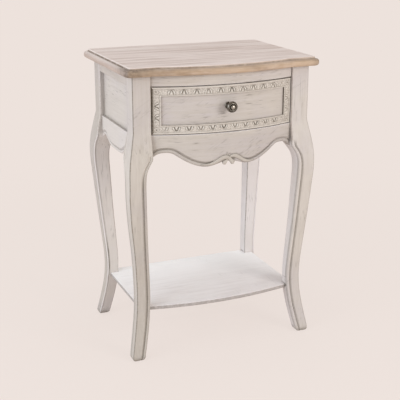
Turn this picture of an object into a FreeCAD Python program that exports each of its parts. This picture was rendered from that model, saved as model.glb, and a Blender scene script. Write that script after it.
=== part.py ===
import FreeCAD, Part
import os
from math import atan2, sqrt

import Sketcher
from FreeCAD import Placement, Rotation, Vector

# A bow-front nightstand with one drawer, four cabriole legs and a low shelf.
# Millimetres, +Z up, front towards -Y, origin in the middle of the footprint on the floor.

document = FreeCAD.newDocument("nightstand")

SIZES = {
    # Case, measured over the square posts at the head of the legs
    "height": 680,
    "case_width": 424,
    "case_depth": 288,
    "post_section": 42,
    # Top board with a stepped lip above a rounded nose
    "top_thickness": 20,
    "top_side_overhang": 20,
    "top_back_overhang": 30,
    "top_front_overhang": 23,
    "top_bow_rise": 25,
    "top_bow_width": 320,
    "top_bow_blend": 60,
    "top_corner_round": 18,
    "top_nose_round": 6,
    "top_lip_height": 5,
    "top_lip_inset": 10,
    "top_lip_round": 1.5,
    # Bowed front
    "top_rail_height": 25,
    "drawer_opening_height": 107,
    "bow_rise": 34,
    "bow_recess": 5,
    "front_rail_thickness": 18,
    "apron_drop": 75,
    "crest_curl_radius": 8,
    "crest_curl_spacing": 18,
    "crest_relief": 3,
    # Sides
    "side_rail_thickness": 20,
    "side_apron_thickness": 18,
    "side_apron_recess": 4,
    "side_apron_drop": 62,
    "side_panel_thickness": 6,
    "side_panel_recess": 11,
    "panel_tongue": 6,
    # Back
    "back_rail_thickness": 18,
    "back_rail_recess": 4,
    "back_bottom_rail_height": 46,
    "back_panel_thickness": 5,
    # Legs below the posts
    "leg_curve_height": 535,
    "knee_swing": 14.8,
    # Shelf
    "shelf_height": 120,
    "shelf_thickness": 9,
    "shelf_side_inset": 15,
    "shelf_back_inset": 11,
    "shelf_front_inset": 24,
    "shelf_bow_rise": 25,
    "shelf_fit_gap": 0.3,
    # Drawer
    "drawer_gap": 2,
    "drawer_front_thickness": 14,
    "drawer_back_room": 35,
    "drawer_side_thickness": 11,
    "drawer_side_height": 82,
    "drawer_back_thickness": 11,
    "drawer_bottom_thickness": 4,
    "drawer_bottom_lift": 10,
    "drawer_groove": 5,
    "drawer_run_gap": 0.3,
    "moulding_width": 20,
    "moulding_thickness": 4.5,
    # What carries the drawer and the top
    "runner_width": 24,
    "runner_thickness": 16,
    "guide_height": 34,
    "kicker_width": 20,
    "kicker_gap": 1,
    "cleat_thickness": 20,
    "stop_length": 12,
    "stop_height": 14,
    # Knob
    "knob_rise": 6,
    "rose_radius": 10,
    "rose_thickness": 3,
    "knob_length": 26,
    "knob_neck_radius": 4.5,
    "knob_flare_radius": 7.5,
    "knob_head_radius": 12.4,
    "knob_head_thickness": 15,
    "knob_screw_radius": 2,
    "knob_screw_bite": 16,
    # Dowels and screws
    "dowel_radius": 4,
    "dowel_length": 30,
    "small_dowel_radius": 2.5,
    "small_dowel_length": 16,
    "apron_dowel_inset": 12,
    "apron_dowel_spacing": 20,
    "drawer_dowel_inset": 20,
    "drawer_dowel_spacing": 29,
    "top_screw_radius": 2,
    "top_screw_length": 30,
    "top_screw_spacing": 122,
    "screw_head_radius": 4,
    "screw_head_height": 2.5,
    "bore_gap": 0.1,
    "bore_end_gap": 1,
    "overrun": 10,
}

# Places worked out from the sizes. Distances to the front are positive and used with a minus.
PLACES = {
    "half_width": "sizes.case_width / 2",
    "half_depth": "sizes.case_depth / 2",
    "post_inner_x": "half_width - sizes.post_section",
    "post_inner_y": "half_depth - sizes.post_section",
    "top_surface": "sizes.height",
    "top_underside": "sizes.height - sizes.top_thickness",
    "opening_top": "top_underside - sizes.top_rail_height",
    "opening_bottom": "opening_top - sizes.drawer_opening_height",
    # Top board
    "slab_top": "sizes.height - sizes.top_lip_height",
    "slab_half_width": "half_width + sizes.top_side_overhang",
    "slab_back": "half_depth + sizes.top_back_overhang",
    "slab_front": "half_depth + sizes.top_front_overhang",
    "slab_bow_half": "sizes.top_bow_width / 2",
    "slab_bow_radius": "(slab_bow_half^2 + sizes.top_bow_rise^2) / (2 * sizes.top_bow_rise)",
    "slab_corner_round": "sizes.top_corner_round",
    "slab_bow_blend": "sizes.top_bow_blend",
    "lip_half_width": "slab_half_width - sizes.top_lip_inset",
    "lip_back": "slab_back - sizes.top_lip_inset",
    "lip_front": "slab_front - sizes.top_lip_inset",
    "lip_bow_radius": "slab_bow_radius - sizes.top_lip_inset",
    "lip_bow_half": "sqrt(sizes.top_bow_rise * (2 * lip_bow_radius - sizes.top_bow_rise))",
    "lip_corner_round": "max(slab_corner_round - sizes.top_lip_inset; sizes.top_lip_round)",
    "lip_bow_blend": "slab_bow_blend + sizes.top_lip_inset",
    # Bowed front: an arc about a point on the middle line
    "bow_end": "half_depth - sizes.bow_recess",
    "bow_front": "bow_end + sizes.bow_rise",
    "bow_radius": "(post_inner_x^2 + sizes.bow_rise^2) / (2 * sizes.bow_rise)",
    "bow_centre": "bow_radius - bow_front",
    "rail_back": "bow_end - sizes.front_rail_thickness",
    "rail_middle": "bow_end - sizes.front_rail_thickness / 2",
    "apron_low": "opening_bottom - sizes.apron_drop",
    "apron_base": "apron_low - sizes.overrun",
    "crest_curl_x": "sizes.crest_curl_spacing / 2",
    "crest_curl_z": "apron_low + sizes.crest_curl_radius",
    "crest_front": "bow_front + sizes.crest_relief",
    # Sides
    "side_rail_inner": "half_width - sizes.side_rail_thickness",
    "side_rail_middle": "half_width - sizes.side_rail_thickness / 2",
    "side_apron_outer": "half_width - sizes.side_apron_recess",
    "side_apron_inner": "side_apron_outer - sizes.side_apron_thickness",
    "side_apron_middle": "side_apron_outer - sizes.side_apron_thickness / 2",
    "side_apron_base": "opening_bottom - sizes.side_apron_drop - sizes.overrun",
    "side_panel_outer": "half_width - sizes.side_panel_recess",
    "side_panel_inner": "side_panel_outer - sizes.side_panel_thickness",
    "panel_low": "opening_bottom - sizes.panel_tongue",
    "panel_high": "opening_top + sizes.panel_tongue",
    "side_panel_end": "post_inner_y + sizes.panel_tongue",
    # Back
    "back_rail_outer": "half_depth - sizes.back_rail_recess",
    "back_rail_inner": "back_rail_outer - sizes.back_rail_thickness",
    "back_rail_middle": "back_rail_outer - sizes.back_rail_thickness / 2",
    "back_panel_outer": "back_rail_middle + sizes.back_panel_thickness / 2",
    "back_panel_inner": "back_rail_middle - sizes.back_panel_thickness / 2",
    "back_panel_end": "post_inner_x + sizes.panel_tongue",
    "back_rail_low": "opening_bottom - sizes.back_bottom_rail_height",
    # Shelf
    "shelf_top": "sizes.shelf_height",
    "shelf_low": "sizes.shelf_height - sizes.shelf_thickness",
    "shelf_middle": "sizes.shelf_height - sizes.shelf_thickness / 2",
    "shelf_half_width": "half_width - sizes.shelf_side_inset",
    "shelf_back": "half_depth - sizes.shelf_back_inset",
    "shelf_front": "half_depth - sizes.shelf_front_inset",
    "shelf_bow_radius": "(shelf_half_width^2 + sizes.shelf_bow_rise^2) / (2 * sizes.shelf_bow_rise)",
    # Drawer
    "drawer_half_width": "post_inner_x - sizes.drawer_gap",
    "drawer_low": "opening_bottom + sizes.drawer_gap",
    "drawer_high": "opening_top - sizes.drawer_gap",
    "moulding_end": "sqrt(bow_radius^2 - drawer_half_width^2) - bow_centre",
    "panel_radius": "bow_radius - sizes.moulding_thickness",
    "panel_end": "sqrt(panel_radius^2 - drawer_half_width^2) - bow_centre",
    "panel_front": "bow_front - sizes.moulding_thickness",
    "moulding_inner_x": "drawer_half_width - sizes.moulding_width",
    "moulding_low": "drawer_low + sizes.moulding_width",
    "moulding_high": "drawer_high - sizes.moulding_width",
    "drawer_front_back": "panel_end - sizes.drawer_front_thickness",
    "drawer_rear": "back_rail_inner - sizes.drawer_back_room",
    "drawer_back_front": "drawer_rear - sizes.drawer_back_thickness",
    "drawer_back_middle": "drawer_rear - sizes.drawer_back_thickness / 2",
    "drawer_side_inner": "drawer_half_width - sizes.drawer_side_thickness",
    "drawer_side_middle": "drawer_half_width - sizes.drawer_side_thickness / 2",
    "drawer_side_high": "drawer_low + sizes.drawer_side_height",
    "drawer_bottom_low": "drawer_low + sizes.drawer_bottom_lift",
    "drawer_bottom_high": "drawer_bottom_low + sizes.drawer_bottom_thickness",
    "drawer_bottom_end_x": "drawer_side_inner + sizes.drawer_groove",
    "drawer_bottom_front": "drawer_front_back + sizes.drawer_groove",
    # What carries the drawer and the top
    "runner_high": "drawer_low - sizes.drawer_run_gap",
    "runner_low": "runner_high - sizes.runner_thickness",
    "runner_inner": "post_inner_x - sizes.runner_width",
    "guide_high": "runner_low + sizes.guide_height",
    "kicker_inner": "post_inner_x - sizes.kicker_width",
    "kicker_low": "drawer_side_high + sizes.kicker_gap",
    "kicker_front": "drawer_front_back - sizes.kicker_gap",
    "cleat_low": "top_underside - sizes.cleat_thickness",
    "cleat_middle": "(post_inner_x + side_rail_inner) / 2",
    "stop_front": "drawer_rear + sizes.drawer_run_gap",
    "stop_rear": "stop_front + sizes.stop_length",
    "stop_high": "runner_high + sizes.stop_height",
    # Knob
    "knob_height": "(drawer_low + drawer_high) / 2 + sizes.knob_rise",
    "rose_front": "panel_front + sizes.rose_thickness",
    "knob_tip": "rose_front + sizes.knob_length",
    "knob_head_middle": "knob_tip - sizes.knob_head_thickness / 2",
    "knob_screw_length": "rose_front + sizes.knob_screw_bite - drawer_front_back",
    # Dowels and screws
    "top_rail_dowel": "(opening_top + top_underside) / 2",
    "apron_dowel_upper": "opening_bottom - sizes.apron_dowel_inset",
    "apron_dowel_lower": "apron_dowel_upper - sizes.apron_dowel_spacing",
    "drawer_dowel_upper": "drawer_side_high - sizes.drawer_dowel_inset",
    "drawer_dowel_lower": "drawer_dowel_upper - sizes.drawer_dowel_spacing",
    "top_screw_y": "sizes.top_screw_spacing / 2",
    # The frame's origin lies midway between the knob's tip and the back of the top
    "frame_shift": "(knob_tip - slab_back) / 2",
}


def make_sheet(name, cells):
    """A spreadsheet with one named cell per row."""
    sheet = document.addObject("Spreadsheet::Sheet", name)
    for row, (alias, text) in enumerate(cells.items(), 1):
        sheet.set(f"A{row}", alias)
        sheet.set(f"B{row}", text)
        sheet.setAlias(f"B{row}", alias)
    return sheet


def add_place(alias, formula):
    """One more named cell in the sheet of places."""
    PLACES[alias] = formula
    row = len(PLACES)
    places.set(f"A{row}", alias)
    places.set(f"B{row}", "=" + formula)
    places.setAlias(f"B{row}", alias)


sizes = make_sheet("sizes", {alias: str(number) for alias, number in SIZES.items()})
places = make_sheet("places", {alias: "=" + formula for alias, formula in PLACES.items()})
document.recompute()

UP = Vector(0, 0, 1)
TOLERANCE = 1e-6
NO_TURN = Rotation()
TO_RIGHT = Rotation(Vector(0, 1, 0), 90)
TO_FRONT = Rotation(Vector(1, 0, 0), 90)
SIDES = (("left", -1), ("right", 1))


def bound(place):
    """The expression for a named place, which may have a minus in front."""
    if place.startswith("-"):
        return "-places." + place[1:]
    return "places." + place


def value(place):
    """The number that a named place stands for."""
    if place.startswith("-"):
        return -places.get(place[1:])
    return places.get(place)


def flip(place):
    """The same place on the other side of the middle."""
    return place[1:] if place.startswith("-") else "-" + place


def on_sign(place, sign):
    """A place on the positive or the negative side of the middle."""
    return place if sign > 0 else flip(place)


def on_side(span, sign):
    """A span of two places, mirrored for the negative side."""
    low, high = span
    return span if sign > 0 else (flip(high), flip(low))


def put(item, x, y, z, turn=NO_TURN):
    """Bind an object's place; None leaves that axis at zero."""
    item.Placement = Placement(Vector(), turn)
    if x:
        item.setExpression("Placement.Base.x", bound(x))
    front = bound(y) + " + " if y else ""
    item.setExpression("Placement.Base.y", front + "places.frame_shift")
    if z:
        item.setExpression("Placement.Base.z", bound(z))
    return item


def board(label, x, y, z):
    """A straight board between named places."""
    box = document.addObject("Part::Box", label)
    for name, (low, high) in zip(("Length", "Width", "Height"), (x, y, z)):
        box.setExpression(name, f"{bound(high)} - ({bound(low)})")
    return put(box, x[0], y[0], z[0])


def rod(label, radius, length, x, y, z, turn):
    """A cylinder from a place, along the turned Z axis."""
    cylinder = document.addObject("Part::Cylinder", label)
    cylinder.setExpression("Radius", radius)
    cylinder.setExpression("Height", length)
    return put(cylinder, x, y, z, turn)


def group(label, items):
    """Separate solids kept together under one label."""
    compound = document.addObject("Part::Compound", label)
    compound.Links = items
    return compound


def fuse(label, items):
    """One solid from overlapping shapes."""
    fusion = document.addObject("Part::MultiFuse", label)
    fusion.Shapes = items
    return fusion


def cut(label, base, tools):
    """A piece with its grooves and bores taken out."""
    piece = document.addObject("Part::Cut", label)
    piece.Base = base
    piece.Tool = tools[0] if len(tools) == 1 else group(label + "_tools", tools)
    return piece


def common(label, base, tool):
    """What two shapes share."""
    piece = document.addObject("Part::Common", label)
    piece.Base = base
    piece.Tool = tool
    return piece


def arc_between(start, end, radius, bulge):
    """The short arc between two points; bulge 1 swells to the right of the way, -1 to the left."""
    chord = end - start
    left = Vector(-chord.y, chord.x, 0).normalize()
    reach = sqrt(radius ** 2 - (chord.Length / 2) ** 2)
    centre = (start + end) / 2 + left * reach * bulge
    first, last = (start, end) if bulge > 0 else (end, start)
    first_angle = atan2(first.y - centre.y, first.x - centre.x)
    last_angle = atan2(last.y - centre.y, last.x - centre.x)
    return Part.ArcOfCircle(Part.Circle(centre, UP, radius), first_angle, last_angle)


def outline(body, name, plane, corners, arcs):
    """A closed sketch whose corners are bound to places; arcs holds {edge: (radius, bulge)}."""
    sketch = body.newObject("Sketcher::SketchObject", name)
    support = [item for item in body.Origin.OriginFeatures if item.Role == plane][0]
    sketch.AttachmentSupport = [(support, "")]
    sketch.MapMode = "FlatFace"
    points = [Vector(value(across), value(along), 0) for across, along in corners]
    following = points[1:] + points[:1]
    ends = []
    for edge, (start, end) in enumerate(zip(points, following)):
        if edge in arcs:
            radius, bulge = arcs[edge]
            sketch.addGeometry(arc_between(start, end, value(radius), bulge))
            sketch.addConstraint(Sketcher.Constraint("Radius", edge, value(radius)))
            sketch.renameConstraint(sketch.ConstraintCount - 1, f"radius{edge}")
            sketch.setExpression(f"Constraints.radius{edge}", bound(radius))
            ends.append((1, 2) if bulge > 0 else (2, 1))
        else:
            sketch.addGeometry(Part.LineSegment(start, end))
            ends.append((1, 2))
    for edge, corner in enumerate(corners):
        before = edge - 1 if edge else len(corners) - 1
        meeting = (before, ends[before][1], edge, ends[edge][0])
        sketch.addConstraint(Sketcher.Constraint("Coincident", *meeting))
        for kind, place in zip(("DistanceX", "DistanceY"), corner):
            sketch.addConstraint(Sketcher.Constraint(kind, -1, 1, edge, ends[edge][0], value(place)))
            name = f"{kind}{edge}"
            sketch.renameConstraint(sketch.ConstraintCount - 1, name)
            sketch.setExpression("Constraints." + name, bound(place))
    return sketch


def pad(body, name, sketch, length):
    """Thicken a sketch by an expression."""
    step = body.newObject("PartDesign::Pad", name)
    step.Profile = sketch
    step.setExpression("Length", length)
    document.recompute()
    return step


def plan_board(label, low, high, corners, arcs):
    """A board cut to a plan outline, between two heights."""
    body = document.addObject("PartDesign::Body", label)
    sketch = outline(body, label + "_plan", "XY_Plane", corners, arcs)
    pad(body, label + "_pad", sketch, f"{bound(high)} - {bound(low)}")
    return put(body, None, None, low)


def bowed_plan(half_width, back, end):
    """Corners of a board with a bowed front, going round from its back right corner."""
    left = flip(half_width)
    return [(half_width, back), (left, back), (left, end), (half_width, end)]


def round_edges(body, name, base, radius, chosen):
    """Round the edges of a feature that a test picks out."""
    edges = [f"Edge{number}" for number, edge in enumerate(base.Shape.Edges, 1) if chosen(edge)]
    step = body.newObject("PartDesign::Fillet", name)
    step.Base = (base, edges)
    step.setExpression("Radius", radius)
    document.recompute()
    return step


def upright_edges(corner_x):
    """A test for the straight upright edges that stand at a distance from the middle line."""
    def chosen(edge):
        first, last = edge.Vertexes[0].Point, edge.Vertexes[-1].Point
        stands = (last - first).cross(UP).isEqual(Vector(), TOLERANCE)
        return stands and abs(abs(first.x) - corner_x) < TOLERANCE
    return chosen


def level_edges(height):
    """A test for the edges that lie flat at a height above the body's own base."""
    def chosen(edge):
        return all(abs(vertex.Point.z - height) < TOLERANCE for vertex in edge.Vertexes)
    return chosen


def make_top_board():
    """A slab with a rounded nose all round, and a lip set back on top of it."""
    body = document.addObject("PartDesign::Body", "top_board_blank")
    for layer, low, high in (("slab", "top_underside", "slab_top"), ("lip", "slab_top", "top_surface")):
        right, back, front = f"{layer}_half_width", f"{layer}_back", f"-{layer}_front"
        bow = f"{layer}_bow_half"
        corners = [(right, back), (flip(right), back), (flip(right), front)]
        corners += [(flip(bow), front), (bow, front), (right, front)]
        sketch = outline(body, layer + "_plan", "XY_Plane", corners, {3: (f"{layer}_bow_radius", 1)})
        sketch.setExpression("AttachmentOffset.Base.z", f"places.{low} - places.top_underside")
        step = pad(body, layer + "_pad", sketch, f"places.{high} - places.{low}")
        for edge, place in (("corner_round", right), ("bow_blend", bow)):
            chosen = upright_edges(value(place))
            step = round_edges(body, f"{layer}_{edge}", step, f"places.{layer}_{edge}", chosen)
        if layer == "slab":
            for edge, height in (("upper", value("slab_top")), ("lower", value("top_underside"))):
                chosen = level_edges(height - value("top_underside"))
                step = round_edges(body, f"nose_{edge}", step, "sizes.top_nose_round", chosen)
    chosen = level_edges(value("top_surface") - value("top_underside"))
    round_edges(body, "lip_edge", step, "sizes.top_lip_round", chosen)
    return put(body, None, None, "top_underside")


# Share of the curve's height, and the swing of the face as a share of the knee's swing
LEG_OUTER_SHARES = (
    (1.000, 0.00),
    (0.935, 0.47),
    (0.869, 0.88),
    (0.804, 1.00),
    (0.729, 0.84),
    (0.542, 0.27),
    (0.374, -0.27),
    (0.275, -0.48),
    (0.187, -0.32),
    (0.075, 0.34),
    (0.000, 0.88),
)
LEG_INNER_SHARES = (
    (0.890, 0.00),
    (0.850, 0.87),
    (0.804, 1.19),
    (0.729, 1.15),
    (0.542, 0.88),
    (0.374, 0.54),
    (0.275, 0.42),
    (0.187, 0.61),
    (0.075, 1.30),
    (0.000, 1.90),
)


def swing_share(shares, height):
    """The swing share of a leg's face at a height, on straight lines between its points."""
    height_share = height / sizes.leg_curve_height
    for upper, lower in zip(shares, shares[1:]):
        if lower[0] <= height_share <= upper[0]:
            along = (height_share - lower[0]) / (upper[0] - lower[0])
            return lower[1] + along * (upper[1] - lower[1])
    raise ValueError("the height is outside the leg's curve")


def leg_profile(across, outer_face, grow):
    """One sawn face of a leg: a straight post above, and curves that swing out and in below."""
    outer_face = outer_face + grow
    inner_face = outer_face - sizes.post_section - 2 * grow
    curves = []
    for shares, start in ((LEG_OUTER_SHARES, outer_face), (LEG_INNER_SHARES, inner_face)):
        points = []
        for height_share, share in shares:
            reach = start + sizes.knee_swing * share
            points.append(across * reach + UP * sizes.leg_curve_height * height_share)
        curve = Part.BSplineCurve()
        curve.interpolate(points)
        curves.append((curve.toShape(), points[0], points[-1]))
    (outer, outer_head, outer_foot), (inner, inner_head, inner_foot) = curves
    corners = [across * face + UP * places.top_underside for face in (outer_face, inner_face)]
    head = Part.makePolygon([outer_head] + corners + [inner_head])
    sole = Part.makePolygon([inner_foot, outer_foot])
    return Part.Face(Part.Wire([outer] + head.Edges + [inner] + sole.Edges))


def leg_shape(sign_x, sign_y, grow):
    """A cabriole leg, sawn to the same profile on two faces of a square blank."""
    to_side, to_end = Vector(sign_x, 0, 0), Vector(0, sign_y, 0)
    reach = sizes.knee_swing + sizes.overrun
    sawn_front = leg_profile(to_side, places.half_width, grow).extrude(to_end * (places.half_depth + reach))
    sawn_side = leg_profile(to_end, places.half_depth, grow).extrude(to_side * (places.half_width + reach))
    return sawn_front.common(sawn_side)


def feature(label, shape):
    """A free form as an object of the document, set into the frame."""
    item = document.addObject("Part::Feature", label)
    item.Shape = shape
    return put(item, None, None, None)


# Share of the half span, share of the drop below the drawer's opening
FRONT_APRON_SHARES = (
    (1.000, 0.720),
    (0.930, 0.587),
    (0.830, 0.533),
    (0.740, 0.560),
    (0.665, 0.667),
    (0.588, 0.780),
    (0.506, 0.880),
    (0.424, 0.953),
    (0.324, 1.000),
    (0.247, 0.993),
    (0.176, 0.953),
    (0.112, 0.900),
    (0.000, 0.870),
)
SIDE_APRON_SHARES = (
    (1.00, 0.820),
    (0.88, 0.715),
    (0.78, 0.700),
    (0.66, 0.780),
    (0.53, 0.890),
    (0.40, 0.965),
    (0.24, 0.995),
    (0.00, 1.000),
)


def scallop(label, shares, half_span, drop, along, way):
    """A prism with a curved underside, wider and higher than the apron that it shapes."""
    top = places.opening_bottom
    half = [(half_span * across, top - drop * down) for across, down in shares]
    points = [(-across, height) for across, height in half] + half[-2::-1]
    curve = Part.BSplineCurve()
    curve.interpolate([along * across + UP * height for across, height in points])
    end = half[0][1]
    wide = half_span + sizes.overrun
    high = top + sizes.overrun
    frame = [(half_span, end), (wide, end), (wide, high), (-wide, high), (-wide, end), (-half_span, end)]
    sides = Part.makePolygon([along * across + UP * height for across, height in frame])
    face = Part.Face(Part.Wire([curve.toShape()] + sides.Edges))
    return feature(label, face.extrude(way))


def make_front_apron():
    """A bowed board cut to a scalloped lower edge, with two carved curls at its middle."""
    corners = bowed_plan("post_inner_x", "-rail_back", "-bow_end")
    plan = plan_board("front_apron_plan", "apron_base", "opening_bottom", corners, {2: ("bow_radius", 1)})
    half_span, drop = places.post_inner_x, sizes.apron_drop
    way = Vector(0, -places.crest_front, 0)
    elevation = scallop("front_apron_scallop", FRONT_APRON_SHARES, half_span, drop, Vector(1, 0, 0), way)
    shapes = [common("front_apron_board", plan, elevation)]
    for side, sign in SIDES:
        x = on_sign("crest_curl_x", sign)
        length = "places.crest_front - places.rail_back"
        label = f"crest_curl_{side}"
        curl = rod(label, "sizes.crest_curl_radius", length, x, "-rail_back", "crest_curl_z", TO_FRONT)
        shapes.append(curl)
    return fuse("front_apron_blank", shapes)


def make_side_apron(side, sign):
    """A straight board cut to a scalloped lower edge."""
    label = f"side_apron_{side}"
    across = on_side(("side_apron_inner", "side_apron_outer"), sign)
    span = ("-post_inner_y", "post_inner_y")
    plank = board(label + "_board", across, span, ("side_apron_base", "opening_bottom"))
    half_span, drop = places.post_inner_y, sizes.side_apron_drop
    way = Vector(sign * places.half_width, 0, 0)
    elevation = scallop(label + "_scallop", SIDE_APRON_SHARES, half_span, drop, Vector(0, 1, 0), way)
    return common(label + "_blank", plank, elevation)


class Pins:
    """Dowels or screws of one kind, with the bores that they sit in."""

    def __init__(self, label, radius, length):
        self.label = label
        self.radius = radius
        self.length = length
        self.pins = []
        self.bores = []

    def add_dowel(self, x, y, z, turn):
        """A dowel laid evenly across a joint at a place."""
        for kind, items, gap, ends in (("pin", self.pins, "0", "0"),
                                       ("bore", self.bores, "sizes.bore_gap", "sizes.bore_end_gap")):
            label = f"{self.label}_{kind}_{len(items) + 1}"
            rod_item = rod(label, f"{self.radius} + {gap}", f"{self.length} + 2 * {ends}", x, y, z, turn)
            axis = turn.multVec(UP)
            for name, share, place in zip("xyz", axis, (x, y, z)):
                if abs(share) > TOLERANCE:
                    start = f" {'-' if share > 0 else '+'} ({self.length} / 2 + {ends})"
                    shift = " + places.frame_shift" if name == "y" else ""
                    rod_item.setExpression(f"Placement.Base.{name}", bound(place) + start + shift)
            items.append(rod_item)

    def add_screw(self, x, y, z, turn):
        """A screw whose head bears on the place and whose shank runs along the turned Z axis."""
        number = len(self.pins) + 1
        shank = rod(f"{self.label}_shank_{number}", self.radius, self.length, x, y, z, turn)
        back = turn.multiply(Rotation(Vector(1, 0, 0), 180))
        head_radius, head_height = "sizes.screw_head_radius", "sizes.screw_head_height"
        head = rod(f"{self.label}_head_{number}", head_radius, head_height, x, y, z, back)
        self.pins.append(fuse(f"{self.label}_{number}", [shank, head]))
        label = f"{self.label}_bore_{number}"
        length = f"{self.length} + sizes.bore_end_gap"
        self.bores.append(rod(label, f"{self.radius} + sizes.bore_gap", length, x, y, z, turn))

    def bore_group(self):
        """All the bores as one cutting shape."""
        return group(self.label + "_bores", self.bores)


def make_legs(side_panels, back_panel, bores):
    """Four legs, grooved for the panels and bored for the dowels."""
    legs = {}
    for end, sign_y in (("front", -1), ("back", 1)):
        for side, sign_x in SIDES:
            label = f"leg_{end}_{side}"
            blank = feature(label + "_blank", leg_shape(sign_x, sign_y, 0))
            tools = [side_panels[side], back_panel] + bores
            legs[label] = cut(label, blank, tools)
    return legs


def make_shelf(bores):
    """A bow-front board notched round the four ankles."""
    corners = bowed_plan("shelf_half_width", "shelf_back", "-shelf_front")
    plan = plan_board("shelf_plan", "shelf_low", "shelf_top", corners, {2: ("shelf_bow_radius", 1)})
    notches = []
    for sign_x in (-1, 1):
        for sign_y in (-1, 1):
            label = f"shelf_notch_{len(notches) + 1}"
            notches.append(feature(label, leg_shape(sign_x, sign_y, sizes.shelf_fit_gap)))
    return cut("shelf", plan, notches + bores)


def make_rail_dowels():
    """Dowels between the posts and the rails and aprons."""
    dowels = Pins("rail_dowels", "sizes.dowel_radius", "sizes.dowel_length")
    apron_heights = ("apron_dowel_upper", "apron_dowel_lower")
    for _, sign in SIDES:
        for y in ("-rail_middle", "back_rail_middle"):
            for height in ("top_rail_dowel",) + apron_heights:
                dowels.add_dowel(on_sign("post_inner_x", sign), y, height, TO_RIGHT)
        for y in ("-post_inner_y", "post_inner_y"):
            dowels.add_dowel(on_sign("side_rail_middle", sign), y, "top_rail_dowel", TO_FRONT)
            for height in apron_heights:
                dowels.add_dowel(on_sign("side_apron_middle", sign), y, height, TO_FRONT)
    return dowels


def make_shelf_dowels():
    """Dowels between the shelf's notches and the ankles."""
    dowels = Pins("shelf_dowels", "sizes.small_dowel_radius", "sizes.small_dowel_length")
    for _, sign in SIDES:
        for y in ("-ankle_inner_y", "ankle_inner_y"):
            dowels.add_dowel(on_sign("ankle_middle_x", sign), y, "shelf_middle", TO_FRONT)
    return dowels


def make_drawer_dowels():
    """Dowels from the drawer's sides into its front and its back."""
    dowels = Pins("drawer_dowels", "sizes.small_dowel_radius", "sizes.small_dowel_length")
    for _, sign in SIDES:
        for height in ("drawer_dowel_upper", "drawer_dowel_lower"):
            dowels.add_dowel(on_sign("drawer_side_middle", sign), "-drawer_front_back", height, TO_FRONT)
            dowels.add_dowel(on_sign("drawer_side_inner", sign), "drawer_back_middle", height, TO_RIGHT)
    return dowels


def make_case():
    """Everything that stands still."""
    nodes = {}
    rail_dowels = make_rail_dowels()
    shelf_dowels = make_shelf_dowels()
    rail_bores = rail_dowels.bore_group()
    shelf_bores = shelf_dowels.bore_group()
    top_screws = Pins("top_screws", "sizes.top_screw_radius", "sizes.top_screw_length")
    for _, sign in SIDES:
        for y in ("-top_screw_y", "top_screw_y"):
            top_screws.add_screw(on_sign("cleat_middle", sign), y, "cleat_low", NO_TURN)
    top_bores = top_screws.bore_group()
    nodes["top_board"] = cut("top_board", make_top_board(), [top_bores])

    between_posts_x = ("-post_inner_x", "post_inner_x")
    between_posts_y = ("-post_inner_y", "post_inner_y")
    top_rail_z = ("opening_top", "top_underside")
    corners = bowed_plan("post_inner_x", "-rail_back", "-bow_end")
    rail = plan_board("front_top_rail_blank", *top_rail_z, corners, {2: ("bow_radius", 1)})
    nodes["front_top_rail"] = cut("front_top_rail", rail, [rail_bores])
    nodes["front_apron"] = cut("front_apron", make_front_apron(), [rail_bores])

    back_y = ("back_rail_inner", "back_rail_outer")
    back_panel_y = ("back_panel_inner", "back_panel_outer")
    panel_z = ("panel_low", "panel_high")
    back_panel = board("back_panel", ("-back_panel_end", "back_panel_end"), back_panel_y, panel_z)
    nodes["back_panel"] = back_panel
    back_rails = (("back_top_rail", top_rail_z), ("back_bottom_rail", ("back_rail_low", "opening_bottom")))
    for label, heights in back_rails:
        blank = board(label + "_blank", between_posts_x, back_y, heights)
        nodes[label] = cut(label, blank, [back_panel, rail_bores])

    side_panels = {}
    for side, sign in SIDES:
        panel_x = on_side(("side_panel_inner", "side_panel_outer"), sign)
        panel_y = ("-side_panel_end", "side_panel_end")
        side_panels[side] = board(f"side_panel_{side}", panel_x, panel_y, panel_z)
        nodes[f"side_panel_{side}"] = side_panels[side]
        rail_x = on_side(("side_rail_inner", "half_width"), sign)
        rail = board(f"side_top_rail_{side}_blank", rail_x, between_posts_y, top_rail_z)
        tools = [side_panels[side], rail_bores]
        nodes[f"side_top_rail_{side}"] = cut(f"side_top_rail_{side}", rail, tools)
        nodes[f"side_apron_{side}"] = cut(f"side_apron_{side}", make_side_apron(side, sign), tools)

        runner_x = on_side(("runner_inner", "post_inner_x"), sign)
        runner_y = ("-rail_back", "back_rail_inner")
        runner_z = ("runner_low", "runner_high")
        nodes[f"drawer_runner_{side}"] = board(f"drawer_runner_{side}", runner_x, runner_y, runner_z)
        guide_x = on_side(("post_inner_x", "side_apron_inner"), sign)
        guide_z = ("runner_low", "guide_high")
        nodes[f"drawer_guide_{side}"] = board(f"drawer_guide_{side}", guide_x, between_posts_y, guide_z)
        kicker_x = on_side(("kicker_inner", "post_inner_x"), sign)
        kicker_y = ("-kicker_front", "back_rail_inner")
        kicker_z = ("kicker_low", "top_underside")
        nodes[f"drawer_kicker_{side}"] = board(f"drawer_kicker_{side}", kicker_x, kicker_y, kicker_z)
        stop_y = ("stop_front", "stop_rear")
        stop_z = ("runner_high", "stop_high")
        nodes[f"drawer_stop_{side}"] = board(f"drawer_stop_{side}", runner_x, stop_y, stop_z)
        cleat_x = on_side(("post_inner_x", "side_rail_inner"), sign)
        cleat_z = ("cleat_low", "top_underside")
        cleat = board(f"top_cleat_{side}_blank", cleat_x, between_posts_y, cleat_z)
        nodes[f"top_cleat_{side}"] = cut(f"top_cleat_{side}", cleat, [top_bores])

    nodes.update(make_legs(side_panels, back_panel, [rail_bores, shelf_bores]))
    nodes["shelf"] = make_shelf([shelf_bores])
    for pins in (rail_dowels, shelf_dowels, top_screws):
        nodes[pins.label] = group(pins.label, pins.pins)
    return nodes


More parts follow.
